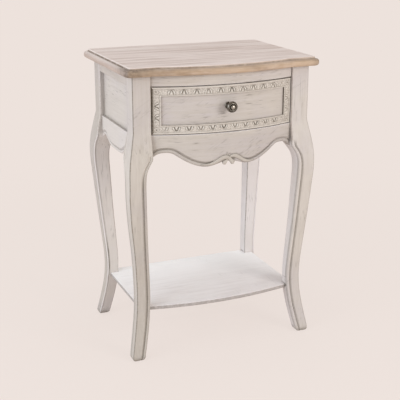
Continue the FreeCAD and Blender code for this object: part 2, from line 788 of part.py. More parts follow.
def make_drawer_mouldings():
    """A curved frame on the drawer's front, in four strips mitred at the corners."""
    right, inner_right = "drawer_half_width", "moulding_inner_x"
    left, inner_left = flip(right), flip(inner_right)
    low, inner_low = "drawer_low", "moulding_low"
    high, inner_high = "drawer_high", "moulding_high"
    plan = [(right, "-panel_end"), (left, "-panel_end"), (left, "-moulding_end"), (right, "-moulding_end")]
    arcs = {0: ("panel_radius", -1), 2: ("bow_radius", 1)}
    blank = plan_board("drawer_moulding_blank", low, high, plan, arcs)
    elevations = {
        "top": [(inner_right, inner_high), (right, high), (left, high), (inner_left, inner_high)],
        "bottom": [(inner_left, inner_low), (left, low), (right, low), (inner_right, inner_low)],
        "left": [(inner_left, inner_high), (left, high), (left, low), (inner_left, inner_low)],
        "right": [(inner_right, inner_low), (right, low), (right, high), (inner_right, inner_high)],
    }
    nodes = {}
    for edge, corners in elevations.items():
        label = f"drawer_moulding_{edge}"
        body = document.addObject("PartDesign::Body", label + "_mitre")
        sketch = outline(body, label + "_elevation", "XZ_Plane", corners, {})
        pad(body, label + "_pad", sketch, "places.crest_front")
        nodes[label] = common(label, blank, put(body, None, None, None))
    return nodes


def make_knob(screw_bores):
    """A turned knob on a round rose, bored for its screw."""
    height = "knob_height"
    radius, thickness = "sizes.rose_radius", "sizes.rose_thickness"
    rose = rod("knob_rose_blank", radius, thickness, None, "-panel_front", height, TO_FRONT)
    neck_length = "places.knob_head_middle - places.rose_front"
    neck = rod("knob_neck", "sizes.knob_neck_radius", neck_length, None, "-rose_front", height, TO_FRONT)
    flare = document.addObject("Part::Cone", "knob_flare")
    flare.setExpression("Radius1", "sizes.knob_flare_radius")
    flare.setExpression("Radius2", "sizes.knob_neck_radius")
    flare.setExpression("Height", "(places.knob_head_middle - places.rose_front) / 2")
    put(flare, None, "-rose_front", height, TO_FRONT)
    head = document.addObject("Part::Ellipsoid", "knob_head")
    head.setExpression("Radius1", "sizes.knob_head_thickness / 2")
    head.setExpression("Radius2", "sizes.knob_head_radius")
    head.setExpression("Radius3", "sizes.knob_head_radius")
    put(head, None, "-knob_head_middle", height, TO_FRONT)
    knob = fuse("drawer_knob_blank", [neck, flare, head])
    return {
        "knob_rose": cut("knob_rose", rose, [screw_bores]),
        "drawer_knob": cut("drawer_knob", knob, [screw_bores]),
    }


def make_drawer():
    """Everything that slides out."""
    nodes = {}
    dowels = make_drawer_dowels()
    dowel_bores = dowels.bore_group()
    knob_screw = Pins("knob_screw", "sizes.knob_screw_radius", "places.knob_screw_length")
    knob_screw.add_screw(None, "-drawer_front_back", "knob_height", TO_FRONT)
    screw_bores = knob_screw.bore_group()

    bottom_x = ("-drawer_bottom_end_x", "drawer_bottom_end_x")
    bottom_y = ("-drawer_bottom_front", "drawer_rear")
    bottom = board("drawer_bottom", bottom_x, bottom_y, ("drawer_bottom_low", "drawer_bottom_high"))
    nodes["drawer_bottom"] = bottom
    corners = bowed_plan("drawer_half_width", "-drawer_front_back", "-panel_end")
    front = plan_board("drawer_front_blank", "drawer_low", "drawer_high", corners, {2: ("panel_radius", 1)})
    nodes["drawer_front"] = cut("drawer_front", front, [bottom, dowel_bores, screw_bores])
    nodes.update(make_drawer_mouldings())
    for side, sign in SIDES:
        label = f"drawer_side_{side}"
        side_x = on_side(("drawer_side_inner", "drawer_half_width"), sign)
        side_y = ("-drawer_front_back", "drawer_rear")
        blank = board(label + "_blank", side_x, side_y, ("drawer_low", "drawer_side_high"))
        nodes[label] = cut(label, blank, [bottom, dowel_bores])
    back_x = ("-drawer_side_inner", "drawer_side_inner")
    back_y = ("drawer_back_front", "drawer_rear")
    back = board("drawer_back_blank", back_x, back_y, ("drawer_bottom_high", "drawer_side_high"))
    nodes["drawer_back"] = cut("drawer_back", back, [dowel_bores])
    nodes.update(make_knob(screw_bores))
    for pins in (dowels, knob_screw):
        nodes[pins.label] = group(pins.label, pins.pins)
    return nodes


def check(nodes):
    """Stop if any object failed or any piece is not sound."""
    for item in document.Objects:
        if "Invalid" in item.State or "Error" in item.State:
            raise RuntimeError(f"{item.Label} failed: {item.State}")
    for label, item in nodes.items():
        shape = item.Shape
        if shape.isNull() or not shape.isValid() or not shape.Solids:
            raise RuntimeError(f"{label} has no sound solid")
        if len(shape.Solids) > 1 and item.TypeId != "Part::Compound":
            raise RuntimeError(f"{label} is in {len(shape.Solids)} pieces")


outer_share = swing_share(LEG_OUTER_SHARES, places.shelf_middle)
inner_share = swing_share(LEG_INNER_SHARES, places.shelf_middle)
add_place("ankle_inner_y", f"post_inner_y + sizes.knee_swing * {inner_share}")
add_place("ankle_inner_x", f"post_inner_x + sizes.knee_swing * {inner_share}")
add_place("ankle_outer_x", f"half_width + sizes.knee_swing * {outer_share}")
add_place("ankle_middle_x", "(ankle_inner_x + ankle_outer_x) / 2")
document.recompute()

pieces = {**make_case(), **make_drawer()}
document.recompute()
check(pieces)
os.makedirs("parts", exist_ok=True)
for node, piece in pieces.items():
    piece.Shape.exportStep(f"parts/{node}.step")
    print(node, len(piece.Shape.Solids), round(piece.Shape.Volume))
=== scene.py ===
"""Looks of a bow-front nightstand: carved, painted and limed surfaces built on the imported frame.

Lengths are in metres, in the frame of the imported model: X to the right, Y to the back, Z up.
"""

import math
from types import SimpleNamespace

import bmesh
import bpy
import numpy as np
from bpy.props import FloatProperty, FloatVectorProperty, PointerProperty
from bpy.types import Operator, Panel, PropertyGroup
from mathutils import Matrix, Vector


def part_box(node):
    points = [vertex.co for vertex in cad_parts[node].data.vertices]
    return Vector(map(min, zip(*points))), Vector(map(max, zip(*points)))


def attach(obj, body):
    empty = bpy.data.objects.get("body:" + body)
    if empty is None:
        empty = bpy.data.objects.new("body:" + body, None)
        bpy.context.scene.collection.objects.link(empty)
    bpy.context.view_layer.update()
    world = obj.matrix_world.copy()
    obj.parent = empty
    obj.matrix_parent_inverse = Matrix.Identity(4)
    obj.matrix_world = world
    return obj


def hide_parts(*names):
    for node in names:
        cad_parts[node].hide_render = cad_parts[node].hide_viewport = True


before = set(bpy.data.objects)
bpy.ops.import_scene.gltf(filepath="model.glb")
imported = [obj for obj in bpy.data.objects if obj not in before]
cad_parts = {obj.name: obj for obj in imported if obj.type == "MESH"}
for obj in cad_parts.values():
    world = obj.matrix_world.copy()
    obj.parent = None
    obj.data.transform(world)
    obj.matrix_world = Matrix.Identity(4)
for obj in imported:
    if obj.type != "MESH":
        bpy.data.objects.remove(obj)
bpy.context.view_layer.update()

bl_info = {
    "name": "Bow-front nightstand",
    "version": (1, 0, 0),
    "blender": (4, 5, 0),
    "location": "View3D > Sidebar > Nightstand",
    "description": "Builds the carved, painted and limed looks of a bow-front nightstand",
    "category": "Add Mesh",
}

MILLIMETRE = 0.001
# Points that lie closer than this are one point
SEAM = 1e-6
# Distance of the points that keep a flat face flat beside a rounded edge
EDGE_GUARD = 0.002
# Angles, in degrees, above which an edge is shown sharp
PLAIN_CREASE = 38.0
CARVED_CREASE = 60.0
SENSOR_WIDTH = 36.0


def read_case():
    """Places of the case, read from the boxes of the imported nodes."""
    rail_low, rail_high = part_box("front_top_rail")
    side_low, side_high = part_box("side_top_rail_right")
    leg_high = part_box("leg_back_right")[1]
    post = side_high.x - rail_high.x
    return SimpleNamespace(
        middle=(side_low.y + side_high.y) / 2,
        half_width=side_high.x,
        post_inner_x=rail_high.x,
        post_inner_y=(side_high.y - side_low.y) / 2,
        half_depth=(side_high.y - side_low.y) / 2 + post,
        knee_swing=leg_high.x - side_high.x,
        post_top=leg_high.z,
        bow_front=rail_low.y,
        rail_back=rail_high.y,
        apron_top=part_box("front_apron")[1].z,
    )


CASE = read_case()

# Share of the curve's height, and the swing of the leg's face as a share of the knee's swing
LEG_OUTER_SHARES = (
    (0.000, 0.88), (0.075, 0.34), (0.187, -0.32), (0.275, -0.48), (0.374, -0.27), (0.542, 0.27),
    (0.729, 0.84), (0.804, 1.00), (0.869, 0.88), (0.935, 0.47), (1.000, 0.00),
)
LEG_INNER_SHARES = (
    (0.000, 1.90), (0.075, 1.30), (0.187, 0.61), (0.275, 0.42), (0.374, 0.54), (0.542, 0.88),
    (0.729, 1.15), (0.804, 1.19), (0.850, 0.87), (0.890, 0.00),
)
# Share of the curve's height, and of the fullness that the side face of the left (-1) or right (1) front leg
# has there
FRONT_FULL_SHARES = {
    -1: ((0.00, 1.00), (0.22, 1.00), (0.37, 0.60), (0.50, 0.44), (0.62, 0.74), (0.70, 0.60), (0.84, 0.00)),
    1: ((0.00, 1.00), (0.22, 1.00), (0.37, 0.60), (0.60, 0.36), (0.82, 0.00)),
}
# Share of the half length from the middle, and of the drop from the top, along an apron's lower edge
FRONT_APRON_SHARES = (
    (0.000, 0.870), (0.112, 0.900), (0.176, 0.953), (0.247, 0.993), (0.324, 1.000), (0.424, 0.953),
    (0.506, 0.880), (0.588, 0.780), (0.665, 0.667), (0.740, 0.560), (0.830, 0.533), (0.930, 0.587),
    (1.000, 0.720),
)
SIDE_APRON_SHARES = (
    (0.00, 1.000), (0.24, 0.995), (0.40, 0.965), (0.53, 0.890), (0.66, 0.780), (0.78, 0.700),
    (0.88, 0.715), (1.00, 0.820),
)
# Numbers of grid lines along, across and round the pieces
LINES = SimpleNamespace(
    foot=7, leg=150, post=9, apron=281, apron_face=26, stem=61, stem_round=24, drawer_width=57,
    drawer_height=5, rail=51, shelf_straight=12, shelf_front=40, shelf_round=5, top_round=7, strip_width=48,
    strip_level=640, strip_upright=200, turned=72)
# Hand finish of each leg. Glaze: its height and strength in the bead's grooves, the width over which it fades
# beside them, and its strength on the bead, along the outer and the inner arris and on the side face.
# Whitewash: on the bead's crown and on the front, inner and side faces; on the back right leg it is mostly
# painted light. Then the painted shade of the lower part and the painted shadow where the shelf's end meets
# the leg
LEG_WEAR_AND_LIGHT = {
    "front_left": SimpleNamespace(
        glaze_and_shade=((0.425, 0.62), (0.455, 0.0)), fade=0.0022, bead_glaze=0.24, arris=0.75, inner_line=0.3,
        side_glaze=0.0, crown=0.0, white=0.0, inner_white=0.0, side_white=0.16, lower_shade=0.125, stain_and_shadow=0.0),
    "front_right": SimpleNamespace(
        glaze_and_shade=((0.585, 0.52), (0.615, 0.0)), fade=0.0012, bead_glaze=0.0, arris=0.5, inner_line=0.3,
        side_glaze=0.0, crown=0.12, white=0.12, inner_white=0.7, side_white=0.06, lower_shade=0.03, stain_and_shadow=1.0),
    "back_left": SimpleNamespace(
        glaze_and_shade=((0.105, 0.14), (0.135, 0.85), (0.190, 0.85), (0.215, 0.34), (0.585, 0.34), (0.615, 0.0)),
        fade=0.0012, bead_glaze=0.0, arris=0.5, inner_line=0.3, side_glaze=0.135, crown=0.3, white=0.34,
        inner_white=0.34, side_white=0.10, lower_shade=0.0, stain_and_shadow=0.0),
    # On the back right leg the whitewash on the faces is mostly painted light
    "back_right": SimpleNamespace(
        glaze_and_shade=((0.585, 0.10), (0.615, 0.0)), fade=0.0012, bead_glaze=0.0, arris=0.5, inner_line=0.6,
        side_glaze=0.0, crown=0.3, white=0.85, inner_white=1.0, side_white=1.0, lower_shade=0.0, stain_and_shadow=0.9),
}
# Marks that all legs share: heights over which the painted shade changes beside the drawer and the painted
# shade of the lower part fades, place and width of the painted shadow where the shelf's end meets the leg,
# painted shade in the recess beside the rail with its share on the last three points, beside the drawer and
# the panel, what the turned side of the bead loses of its glaze and from which points on, whitewash on the
# bead, painted shadow where the foot meets the floor with its reach in foot rounds, and rubbing
LEG_MARKS = SimpleNamespace(
    drawer_foot=(0.520, 0.530), drawer_head=(0.633, 0.643), lower_shade_fade=(0.24, 0.42), shelf_shadow_height=0.1180,
    shelf_shadow_width=0.0034, beside_rail=0.85, beside_steps=(0.4, 1.0, 1.0), less_at_drawer=0.70,
    beside_panel=0.36, less_turned=0.30, turned=(8, 12), bead_white=0.30, foot=0.65, foot_reach=2.2,
    rubbed=0.75)
# Marks of the front apron: glaze in the bead's grooves and what it loses towards the right, glaze on the
# crown and everywhere, the cool patch with the drop over which it comes in, and what the top's rubbing loses
FRONT_APRON_MARKS = SimpleNamespace(
    groove=0.58, less_right=0.45, right=(0.08, 0.15), crown=0.22, least=0.05, cool=0.9, cool_place=0.015,
    cool_width=0.110, cool_start=0.02, less_upper=0.7)
# Marks of the side aprons: rubbing, glaze in grooves, painted shade on the ledge, whitewash on the bead and
# everywhere
SIDE_APRON_MARKS = SimpleNamespace(rubbed=0.4, groove=0.25, ledge=0.3, crown=0.4, wash=0.38)
# Marks of the side panels: painted shade in the recesses above the apron and beside the post, how far it
# reaches, and whitewash. Then the distances of the grid lines from the apron and the post, and of the far
# ones from the post
PANEL_MARKS = SimpleNamespace(apron=0.42, apron_fade=0.0034, post=0.45, post_fade=0.006, wash=0.22)
PANEL_LINES = SimpleNamespace(near=np.array((0.0, 0.0015, 0.003, 0.005, 0.008, 0.012)),
                              far=np.linspace(0.03, 0.17, 5))
# Marks of the rail above the drawer: rubbing, and painted light that comes in towards the right
RAIL_MARKS = SimpleNamespace(rubbed=0.3, white=0.16, right=(0.0, 0.10))
# Marks of the drawer's front: where its left part ends, cool coat everywhere and at the left, rubbing, and
# painted light in the gaps on its upper and lower rims
DRAWER_MARKS = SimpleNamespace(left=(-0.10, 0.10), cool=0.2, left_cool=0.6, rubbed=0.3, rim_light=0.4)
# Distances from the carved strips at which the grid of the drawer's front has lines
DRAWER_LINES = np.array((0.0004, 0.0009, 0.0016, 0.0026, 0.0042))
# Where the painted light in the gap above the drawer comes in and where it ends
GAP_LIGHT = SimpleNamespace(start=(-0.15, -0.09), end=(0.02, 0.06))
# Marks of the shelf's edge: turns over which the arris comes in, how squarely a side has to face, glaze
# underneath, everywhere and more of it at the front and the sides, what the front loses towards the right
SHELF_MARKS = SimpleNamespace(arris=(0.5, 1.4), facing=(0.5, 0.9), under=0.4, glaze_and_shade=0.60, front=0.35,
                              side=0.35, less_right=0.15, right=(0.02, 0.17))
# Marks of the top's edge: how squarely the ends and the left end have to face, width of the worn front
# corners and strength of the right one, painted highlight in lime on the arrises and what it loses towards
# the right, where the key light already brightens them, the painted shadow line under the front's lip,
# painted shade on the front's nose, glaze on the worn corners and on the ends, and the share of bare wood
# from which these show
TOP_MARKS = SimpleNamespace(
    ends=(0.55, 0.9), left=(0.5, 0.9), left_corner=0.055, right_corner=0.020, right_worn=0.65, lime_highlight=0.6,
    less_right=0.80, right=(-0.10, 0.10), front_lip_shadow=0.6, shade=0.20, worn=0.72, end_glaze=0.05, bare=0.8)
# Hollow at the foot of the top's lip: how far its points lie out from the lip and up from the ledge
TOP_HOLLOW = SimpleNamespace(out=np.array((0.0, 0.0004, 0.0014)), up=np.array((0.0008, 0.0002, 0.0)))
# Each carved strip: along its inner foot glaze, which at the right strip is mostly painted shade; on its
# outer side painted shade of the gap, strongest at the left; glaze in its cuts with what they lose towards
# the right;
# painted shade on the drawer's edge in the gap beside it; width of the outer painted shade, pitch of the
# darts and the place of one dart from the strip's middle
STRIPS = {
    "top": SimpleNamespace(inner=0.28, outer=0.05, cuts=0.75, fade=0.45, side=0.0, wide=0.0006,
                           pitch=0.0268, phase=0.0075),
    "bottom": SimpleNamespace(inner=0.36, outer=0.00, cuts=1.00, fade=0.0, side=0.5, wide=0.0006,
                              pitch=0.0264, phase=-0.0107),
    "left": SimpleNamespace(inner=0.16, outer=1.00, cuts=0.8, fade=0.0, side=0.55, wide=0.0044,
                            pitch=0.0270, phase=0.0110),
    "right": SimpleNamespace(inner=1.00, outer=0.30, cuts=0.35, fade=0.0, side=0.2, wide=0.0006,
                             pitch=0.0270, phase=0.0060),
}
# Section of a carved strip: distance from its outer edge and height over the panel, in millimetres
STRIP_SECTION = (
    (0.0, 3.0), (0.5, 4.0), (1.2, 4.4), (2.6, 4.4), (3.2, 4.1), (3.8, 3.1), (4.6, 3.0), (8.0, 3.5),
    (12.0, 3.7), (15.8, 3.3), (16.4, 2.5), (17.0, 2.7), (17.6, 3.6), (18.3, 3.9), (19.1, 3.8), (19.6, 3.3),
    (19.9, 1.8), (20.0, 0.3),
)
# Distances across a strip from its outer edge: the two quirks, the crests beside them, the inner foot, the
# start and end of the field and of the corner's ring, the end of the sunk ground and of the darts, the rim
ACROSS = SimpleNamespace(
    outer_quirk=0.0040, inner_quirk=0.0166, outer_crest=0.0018, inner_crest=0.0186, foot=(0.0190, 0.0198),
    field_start=(0.003, 0.005), field_end=(0.0155, 0.0170), sunk_end=(0.0152, 0.0162),
    ring_start=(0.004, 0.006), ring_end=(0.0145, 0.0155), dart_end=0.0158, rim=0.0008)
# The dot and its ring in a strip's corner: distance from both edges, widths, the ring's radius, and depths
CORNER_DOT = SimpleNamespace(inset=0.0100, width=0.0016, ring=0.0055, ring_width=0.0007, depth=0.0016,
                             ring_depth=0.0007)
# Tool marks on the carving: lengths of the waves along and across, lengths of their sway, depth, and lengths
# of the waves in the glaze of the cuts
TOOLING = SimpleNamespace(along=0.0013, across=0.0015, along_sway=0.0037, across_sway=0.0021, depth=0.0003,
                          glaze_along=0.0008, glaze_across=0.0012)
# Leaves and darts: how far a dart strays along and across, its least half breadth, where the leaves and the
# sunk ground come in from its tip, width of the ground's outer edge, height of the domes over the ground,
# place and width of the glaze at a dart's point, and where the motifs fade and stop from the strip's end
MOTIF = SimpleNamespace(
    stray=0.0005, tip_stray=0.0004, least_half=1e-5, leaf_start=(-0.0012, 0.0006),
    sunk_start=(-0.0018, -0.0002), sunk_edge=0.0009, proud=0.0003, point=0.0006, point_width=0.0017,
    fade=(0.024, 0.031), stop=0.018)
# Glaze, painted shade and painted highlight on the carving: glaze in the two quirks, the dot and its ring,
# where the cuts lose theirs towards the right and where the top strip's rim gains painted shade in the gap,
# painted highlight in white on the crests, and rubbing
CARVED_MARKS = SimpleNamespace(
    outer_quirk=0.22, outer_width=0.0009, inner_quirk=0.30, inner_width=0.0008, dot=0.9, ring=0.45,
    right=(0.02, 0.14), rim_shade=0.8, rim_right=(0.10, 0.15), outer_crest_width=0.0010,
    inner_crest_width=0.0007, crest_highlight=0.35, rubbed=0.45)
# Height that a carved strip keeps over the panel at least
LEAST_HEIGHT = 0.0002
# Carved crest of the front apron: distance from the middle, height and half breadth, in millimetres
CREST_STEMS = (
    ((-64, 458.6, 0.5), (-50, 457.9, 2.4), (-37, 460.2, 3.8), (-25, 465.6, 4.6), (-15, 470.4, 5.0),
     (-6, 472.0, 4.8), (1.5, 468.8, 4.0), (5.5, 464.4, 4.2), (10, 459.6, 5.4), (13.2, 456.0, 5.2)),
    ((-1.5, 467.0, 1.8), (-5.4, 463.8, 3.4), (-10, 459.6, 5.2), (-13, 456.2, 5.0)),
    ((3, 470.6, 1.6), (9, 473.8, 3.6), (17.5, 473.0, 4.6), (27, 468.0, 4.4), (37, 461.6, 3.8),
     (50, 457.9, 2.4), (64, 458.6, 0.5)),
    ((-1.6, 476.0, 1.2), (-2.6, 478.6, 1.0), (-3.6, 481.0, 0.6)),
    ((1.6, 475.0, 1.1), (2.4, 477.2, 0.9), (3.2, 479.2, 0.5)),
)


def srgb(red, green, blue):
    """Linear colour of a paint sample that is written in the usual 0 to 255 steps."""
    steps = np.array((red, green, blue)) / 255.0
    linear = np.where(steps <= 0.04045, steps / 12.92, ((steps + 0.055) / 1.055) ** 2.4)
    return tuple(float(channel) for channel in linear)


def length(name, description, default):
    """A length that a user can change."""
    return FloatProperty(name=name, description=description, default=default, unit="LENGTH", precision=5)


def colour(name, description, default):
    """A colour that a user can change."""
    return FloatVectorProperty(name=name, description=description, default=default, subtype="COLOR",
                               size=3, min=0.0, max=1.0)


def share(name, description, default):
    """A share from nothing to all that a user can change."""
    return FloatProperty(name=name, description=description, default=default, subtype="FACTOR",
                         min=0.0, max=1.0)


class NIGHTSTAND_PG_legs(PropertyGroup):
    """Sizes of the cabriole legs."""

    curve_height: length("Curve height", "Height of the curved part below the post", 0.535)
    corner_round: length("Corner round", "Rounding of the plain corners", 0.0026)
    bead_radius: length("Bead radius", "Radius of the bead along the inner edges", 0.0038)
    quirk_width: length("Quirk width", "Width of the groove beside the bead", 0.0032)
    bead_start: length("Bead start", "Height at which the bead runs out into the post", 0.479)
    bead_run_out: length("Bead run-out", "Height over which the bead runs out", 0.014)
    foot_round: length("Foot round", "Rounding under the foot", 0.0075)
    back_bead: share("Back bead", "Size of the back legs' bead as a share of the front legs'", 0.55)
    front_fullness: length("Front fullness", "How much fuller a front leg is at its ankle and foot", 0.0042)


class NIGHTSTAND_PG_aprons(PropertyGroup):
    """Sizes of the scalloped aprons and of the bowed front."""

    bow_rise: length("Bow rise", "How far the front bows out between the posts", 0.034)
    front_drop: length("Front drop", "Drop of the front apron at its lowest points", 0.075)
    bead_radius: length("Bead radius", "Radius of the bead along the lower edge", 0.0043)
    quirk_width: length("Quirk width", "Width of the groove above the bead", 0.0034)
    edge_round: length("Edge round", "Rounding of the top edge", 0.0015)
    crest_plain: length("Crest width", "Half the width at the middle that has no bead", 0.022)
    crest_depth: length("Crest depth", "Depth to which the glaze round the crest reaches in", 0.002)
    bead_run_in: length("Bead run-in", "Length over which the bead runs in beside the crest", 0.014)
    plain_round: length("Plain round", "Rounding of the lower edge where it has no bead", 0.002)
    end_reach: length("End reach", "How far the bead may reach past the posts' inner faces", 0.006)
    board_ease: length("Board easing", "Rounding of the edges of the rails", 0.0015)
    panel_ease: length("Panel easing", "Rounding of the edges of the side panels", 0.0005)


class NIGHTSTAND_PG_top(PropertyGroup):
    """Sizes of the top board."""

    bow_rise: length("Bow rise", "How far the front of the top bows out", 0.025)
    bow_width: length("Bow width", "Width of the bowed part", 0.320)
    bow_blend: length("Bow blend", "Radius that joins the bow to the straight ends", 0.060)
    corner_round: length("Corner round", "Rounding of the corners seen from above", 0.018)
    nose_round: length("Nose round", "Rounding of the edge of the slab", 0.006)
    lip_height: length("Lip height", "Height of the lip above the slab", 0.005)
    lip_inset: length("Lip inset", "Distance of the lip from the edge of the slab", 0.010)
    lip_round: length("Lip round", "Rounding of the lip's arris", 0.0022)


class NIGHTSTAND_PG_shelf(PropertyGroup):
    """Sizes of the shelf."""

    bow_rise: length("Bow rise", "How far the front of the shelf bows out", 0.025)
    fit_gap: length("Fit gap", "Gap between a notch and the leg", 0.0006)
    ease: length("Easing", "Rounding of the edges", 0.0014)


class NIGHTSTAND_PG_carving(PropertyGroup):
    """Sizes of the carved strips round the drawer's front."""

    tip: length("Tip", "Distance of a dart's tip from the outer edge", 0.0078)
    top_tip: length("Top tip", "Distance of a dart's tip from the outer edge of the top strip", 0.0062)
    carve_depth: length("Carving depth", "Depth of the sunk ground beside the leaves", 0.0024)
    dart_spread: length("Dart spread", "Half the width of a dart at its wide end", 0.0040)
    leaf_half: length("Leaf width", "Half the width of a leaf", 0.0021)
    cut_width: length("Cut width", "Width of the cut between a dart and a leaf", 0.0019)
    panel_glaze: length("Panel glaze", "How far the glaze reaches into the panel from the strips", 0.0014)


class NIGHTSTAND_PG_finish(PropertyGroup):
    """Colours of the finishes."""

    paint: colour("Paint", "Antique cream paint", srgb(199, 190, 180))
    paint_shade: colour("Paint shade", "Paint in the strokes that kept the glaze", srgb(184, 174, 163))
    paint_cool: colour("Cool paint", "Patches where a greyer first coat shows", srgb(188, 179, 178))
    # Whitewash is also the colour of the painted light in the gaps round the drawer and on the back right leg
    whitewash_and_light: colour("Whitewash", "Thin white coat on raised and on pale parts", srgb(229, 223, 222))
    # The dry white on the carving also stands in for the highlights on its domes and crests
    carving_white_and_highlight: colour("Carving white", "Dry white brushed over the carving", srgb(230, 223, 213))
    # This dark is glaze in the hollows, and also painted shade in the gaps round the drawer, in the recesses
    # beside the posts, panels and ledges, at the feet and where the shelf meets the legs
    glaze_and_shade: colour("Glaze_and_shade", "Dark glaze left in the grooves", srgb(95, 86, 73))
    rubbed_wood: colour("Rubbed wood", "Wood that shows where the paint is rubbed off", srgb(139, 120, 103))
    oak: colour("Oak", "Limed oak of the top", srgb(213, 196, 188))
    # Lime is also the colour of the painted highlight on the top's arrises and ledge
    oak_lime_and_highlight: colour("Lime", "Lime left in the grain of the top", srgb(239, 228, 222))
    oak_dark: colour("Oak grain", "Darker grain of the top", srgb(183, 162, 151))
    oak_end: colour("Oak end", "Limed oak along the ends of the top", srgb(190, 171, 160))
    oak_end_dark: colour("Oak end grain", "Darker grain along the ends of the top", srgb(166, 147, 136))
    oak_edge: colour("Oak edge", "Oak along the edge of the top", srgb(188, 162, 136))
    oak_edge_dark: colour("Oak edge grain", "Darker grain along the edge of the top", srgb(134, 108, 82))
    # This dark is the painted shadow line under the lip, and the dark of the worn corners
    oak_dark_and_lip_shadow: colour("Oak hollow", "Dark line under the lip of the top", srgb(94, 78, 62))
    shelf: colour("Shelf", "Pale paint of the shelf", srgb(243, 238, 237))
    shelf_shade: colour("Shelf shade", "Rubbed paint of the shelf", srgb(224, 217, 215))
    # Painted shade towards the shelf's front right
    shelf_painted_shade: colour("Shelf cool", "Greyer paint of the shelf's front", srgb(234, 227, 225))
    # Painted light towards the shelf's back
    shelf_painted_light: colour("Shelf white", "White coat at the shelf's back", srgb(255, 253, 252))
    shelf_edge: colour("Shelf edge", "Worn edge of the shelf", srgb(160, 151, 145))
    wood: colour("Bare wood", "Bare wood inside", srgb(202, 172, 132))
    wood_dark: colour("Bare wood grain", "Darker grain of the bare wood", srgb(170, 136, 96))
    plywood: colour("Plywood", "Plywood of the drawer's bottom", srgb(214, 188, 150))
    plywood_dark: colour("Plywood grain", "Darker grain of the plywood", srgb(190, 158, 116))
    pewter: colour("Pewter", "Polished pewter of the knob", srgb(204, 196, 184))
    pewter_dark: colour("Pewter tarnish", "Tarnish in the turned grooves", srgb(50, 45, 38))
    steel: colour("Steel", "Plated steel of the screws", srgb(176, 174, 170))


class NIGHTSTAND_PG_stage(PropertyGroup):
    """The floor, the light and the camera."""

    background: colour("Background", "Pale floor and backdrop", srgb(237, 226, 220))
    shadow: share("Shadow", "How much of the floor's shadow shows", 0.15)
    lens: FloatProperty(name="Lens", description="Focal length in millimetres", default=81.0)
    camera_place: FloatVectorProperty(name="Camera", description="Place of the camera", size=3,
                                      default=(-0.798, -1.928, 0.981), unit="LENGTH")
    camera_turn: FloatProperty(name="Camera turn", description="Turn of the camera towards the right",
                               default=math.radians(22.43), subtype="ANGLE")
    camera_tilt: FloatProperty(name="Camera tilt", description="Tilt of the camera below the level",
                               default=math.radians(17.47), subtype="ANGLE")
    sky: FloatProperty(name="Sky", description="Strength of the soft light from all round", default=0.70)
    key: FloatProperty(name="Key", description="Power of the large light at the front", default=15.2)
    overhead: FloatProperty(name="Overhead", description="Power of the light above", default=2.5)
    fill: FloatProperty(name="Fill", description="Power of the cool light at the left", default=25.5)
    fill_colour: colour("Fill colour", "Colour of the light at the left", (0.80, 0.90, 1.0))


class NIGHTSTAND_PG_settings(PropertyGroup):
    """All that a user can change."""

    legs: PointerProperty(type=NIGHTSTAND_PG_legs, name="Legs")
    aprons: PointerProperty(type=NIGHTSTAND_PG_aprons, name="Aprons")
    top: PointerProperty(type=NIGHTSTAND_PG_top, name="Top")
    shelf: PointerProperty(type=NIGHTSTAND_PG_shelf, name="Shelf")
    carving: PointerProperty(type=NIGHTSTAND_PG_carving, name="Carving")
    finish: PointerProperty(type=NIGHTSTAND_PG_finish, name="Finish")
    stage: PointerProperty(type=NIGHTSTAND_PG_stage, name="Stage")


# Curves and grids


def spline(known, values, wanted):
    """Natural cubic spline: piecewise cubics with equal slope and bend at the knots and no bend at the ends.

    The bends at the knots come from one linear system, and each wanted point from the cubic of its span.
    """
    known, values, wanted = (np.asarray(row, float) for row in (known, values, wanted))
    count = len(known)
    gap = np.diff(known)
    slope = np.diff(values) / gap
    system = np.eye(count)
    middle = np.arange(1, count - 1)
    system[middle, middle - 1] = gap[:-1]
    system[middle, middle] = 2 * (gap[:-1] + gap[1:])
    system[middle, middle + 1] = gap[1:]
    right = np.zeros(count)
    right[1:-1] = 6 * np.diff(slope)
    bend = np.linalg.solve(system, right)
    span = np.clip(np.searchsorted(known, wanted) - 1, 0, count - 2)
    step = gap[span]
    after, before = wanted - known[span], known[span + 1] - wanted
    cubic = (bend[span] * before ** 3 + bend[span + 1] * after ** 3) / (6 * step)
    line = (values[span] / step - bend[span] * step / 6) * before
    line += (values[span + 1] / step - bend[span + 1] * step / 6) * after
    return cubic + line


def ease(wanted, start, end):
    """Smooth step: 0 before start, 1 after end, with a level slope at both."""
    along = np.clip((np.asarray(wanted, float) - start) / (end - start), 0.0, 1.0)
    return along * along * (3 - 2 * along)


def bump(distance, width):
    """Bell curve of a distance: 1 at zero, falling off over the width."""
    return np.exp(-((distance / width) ** 2))


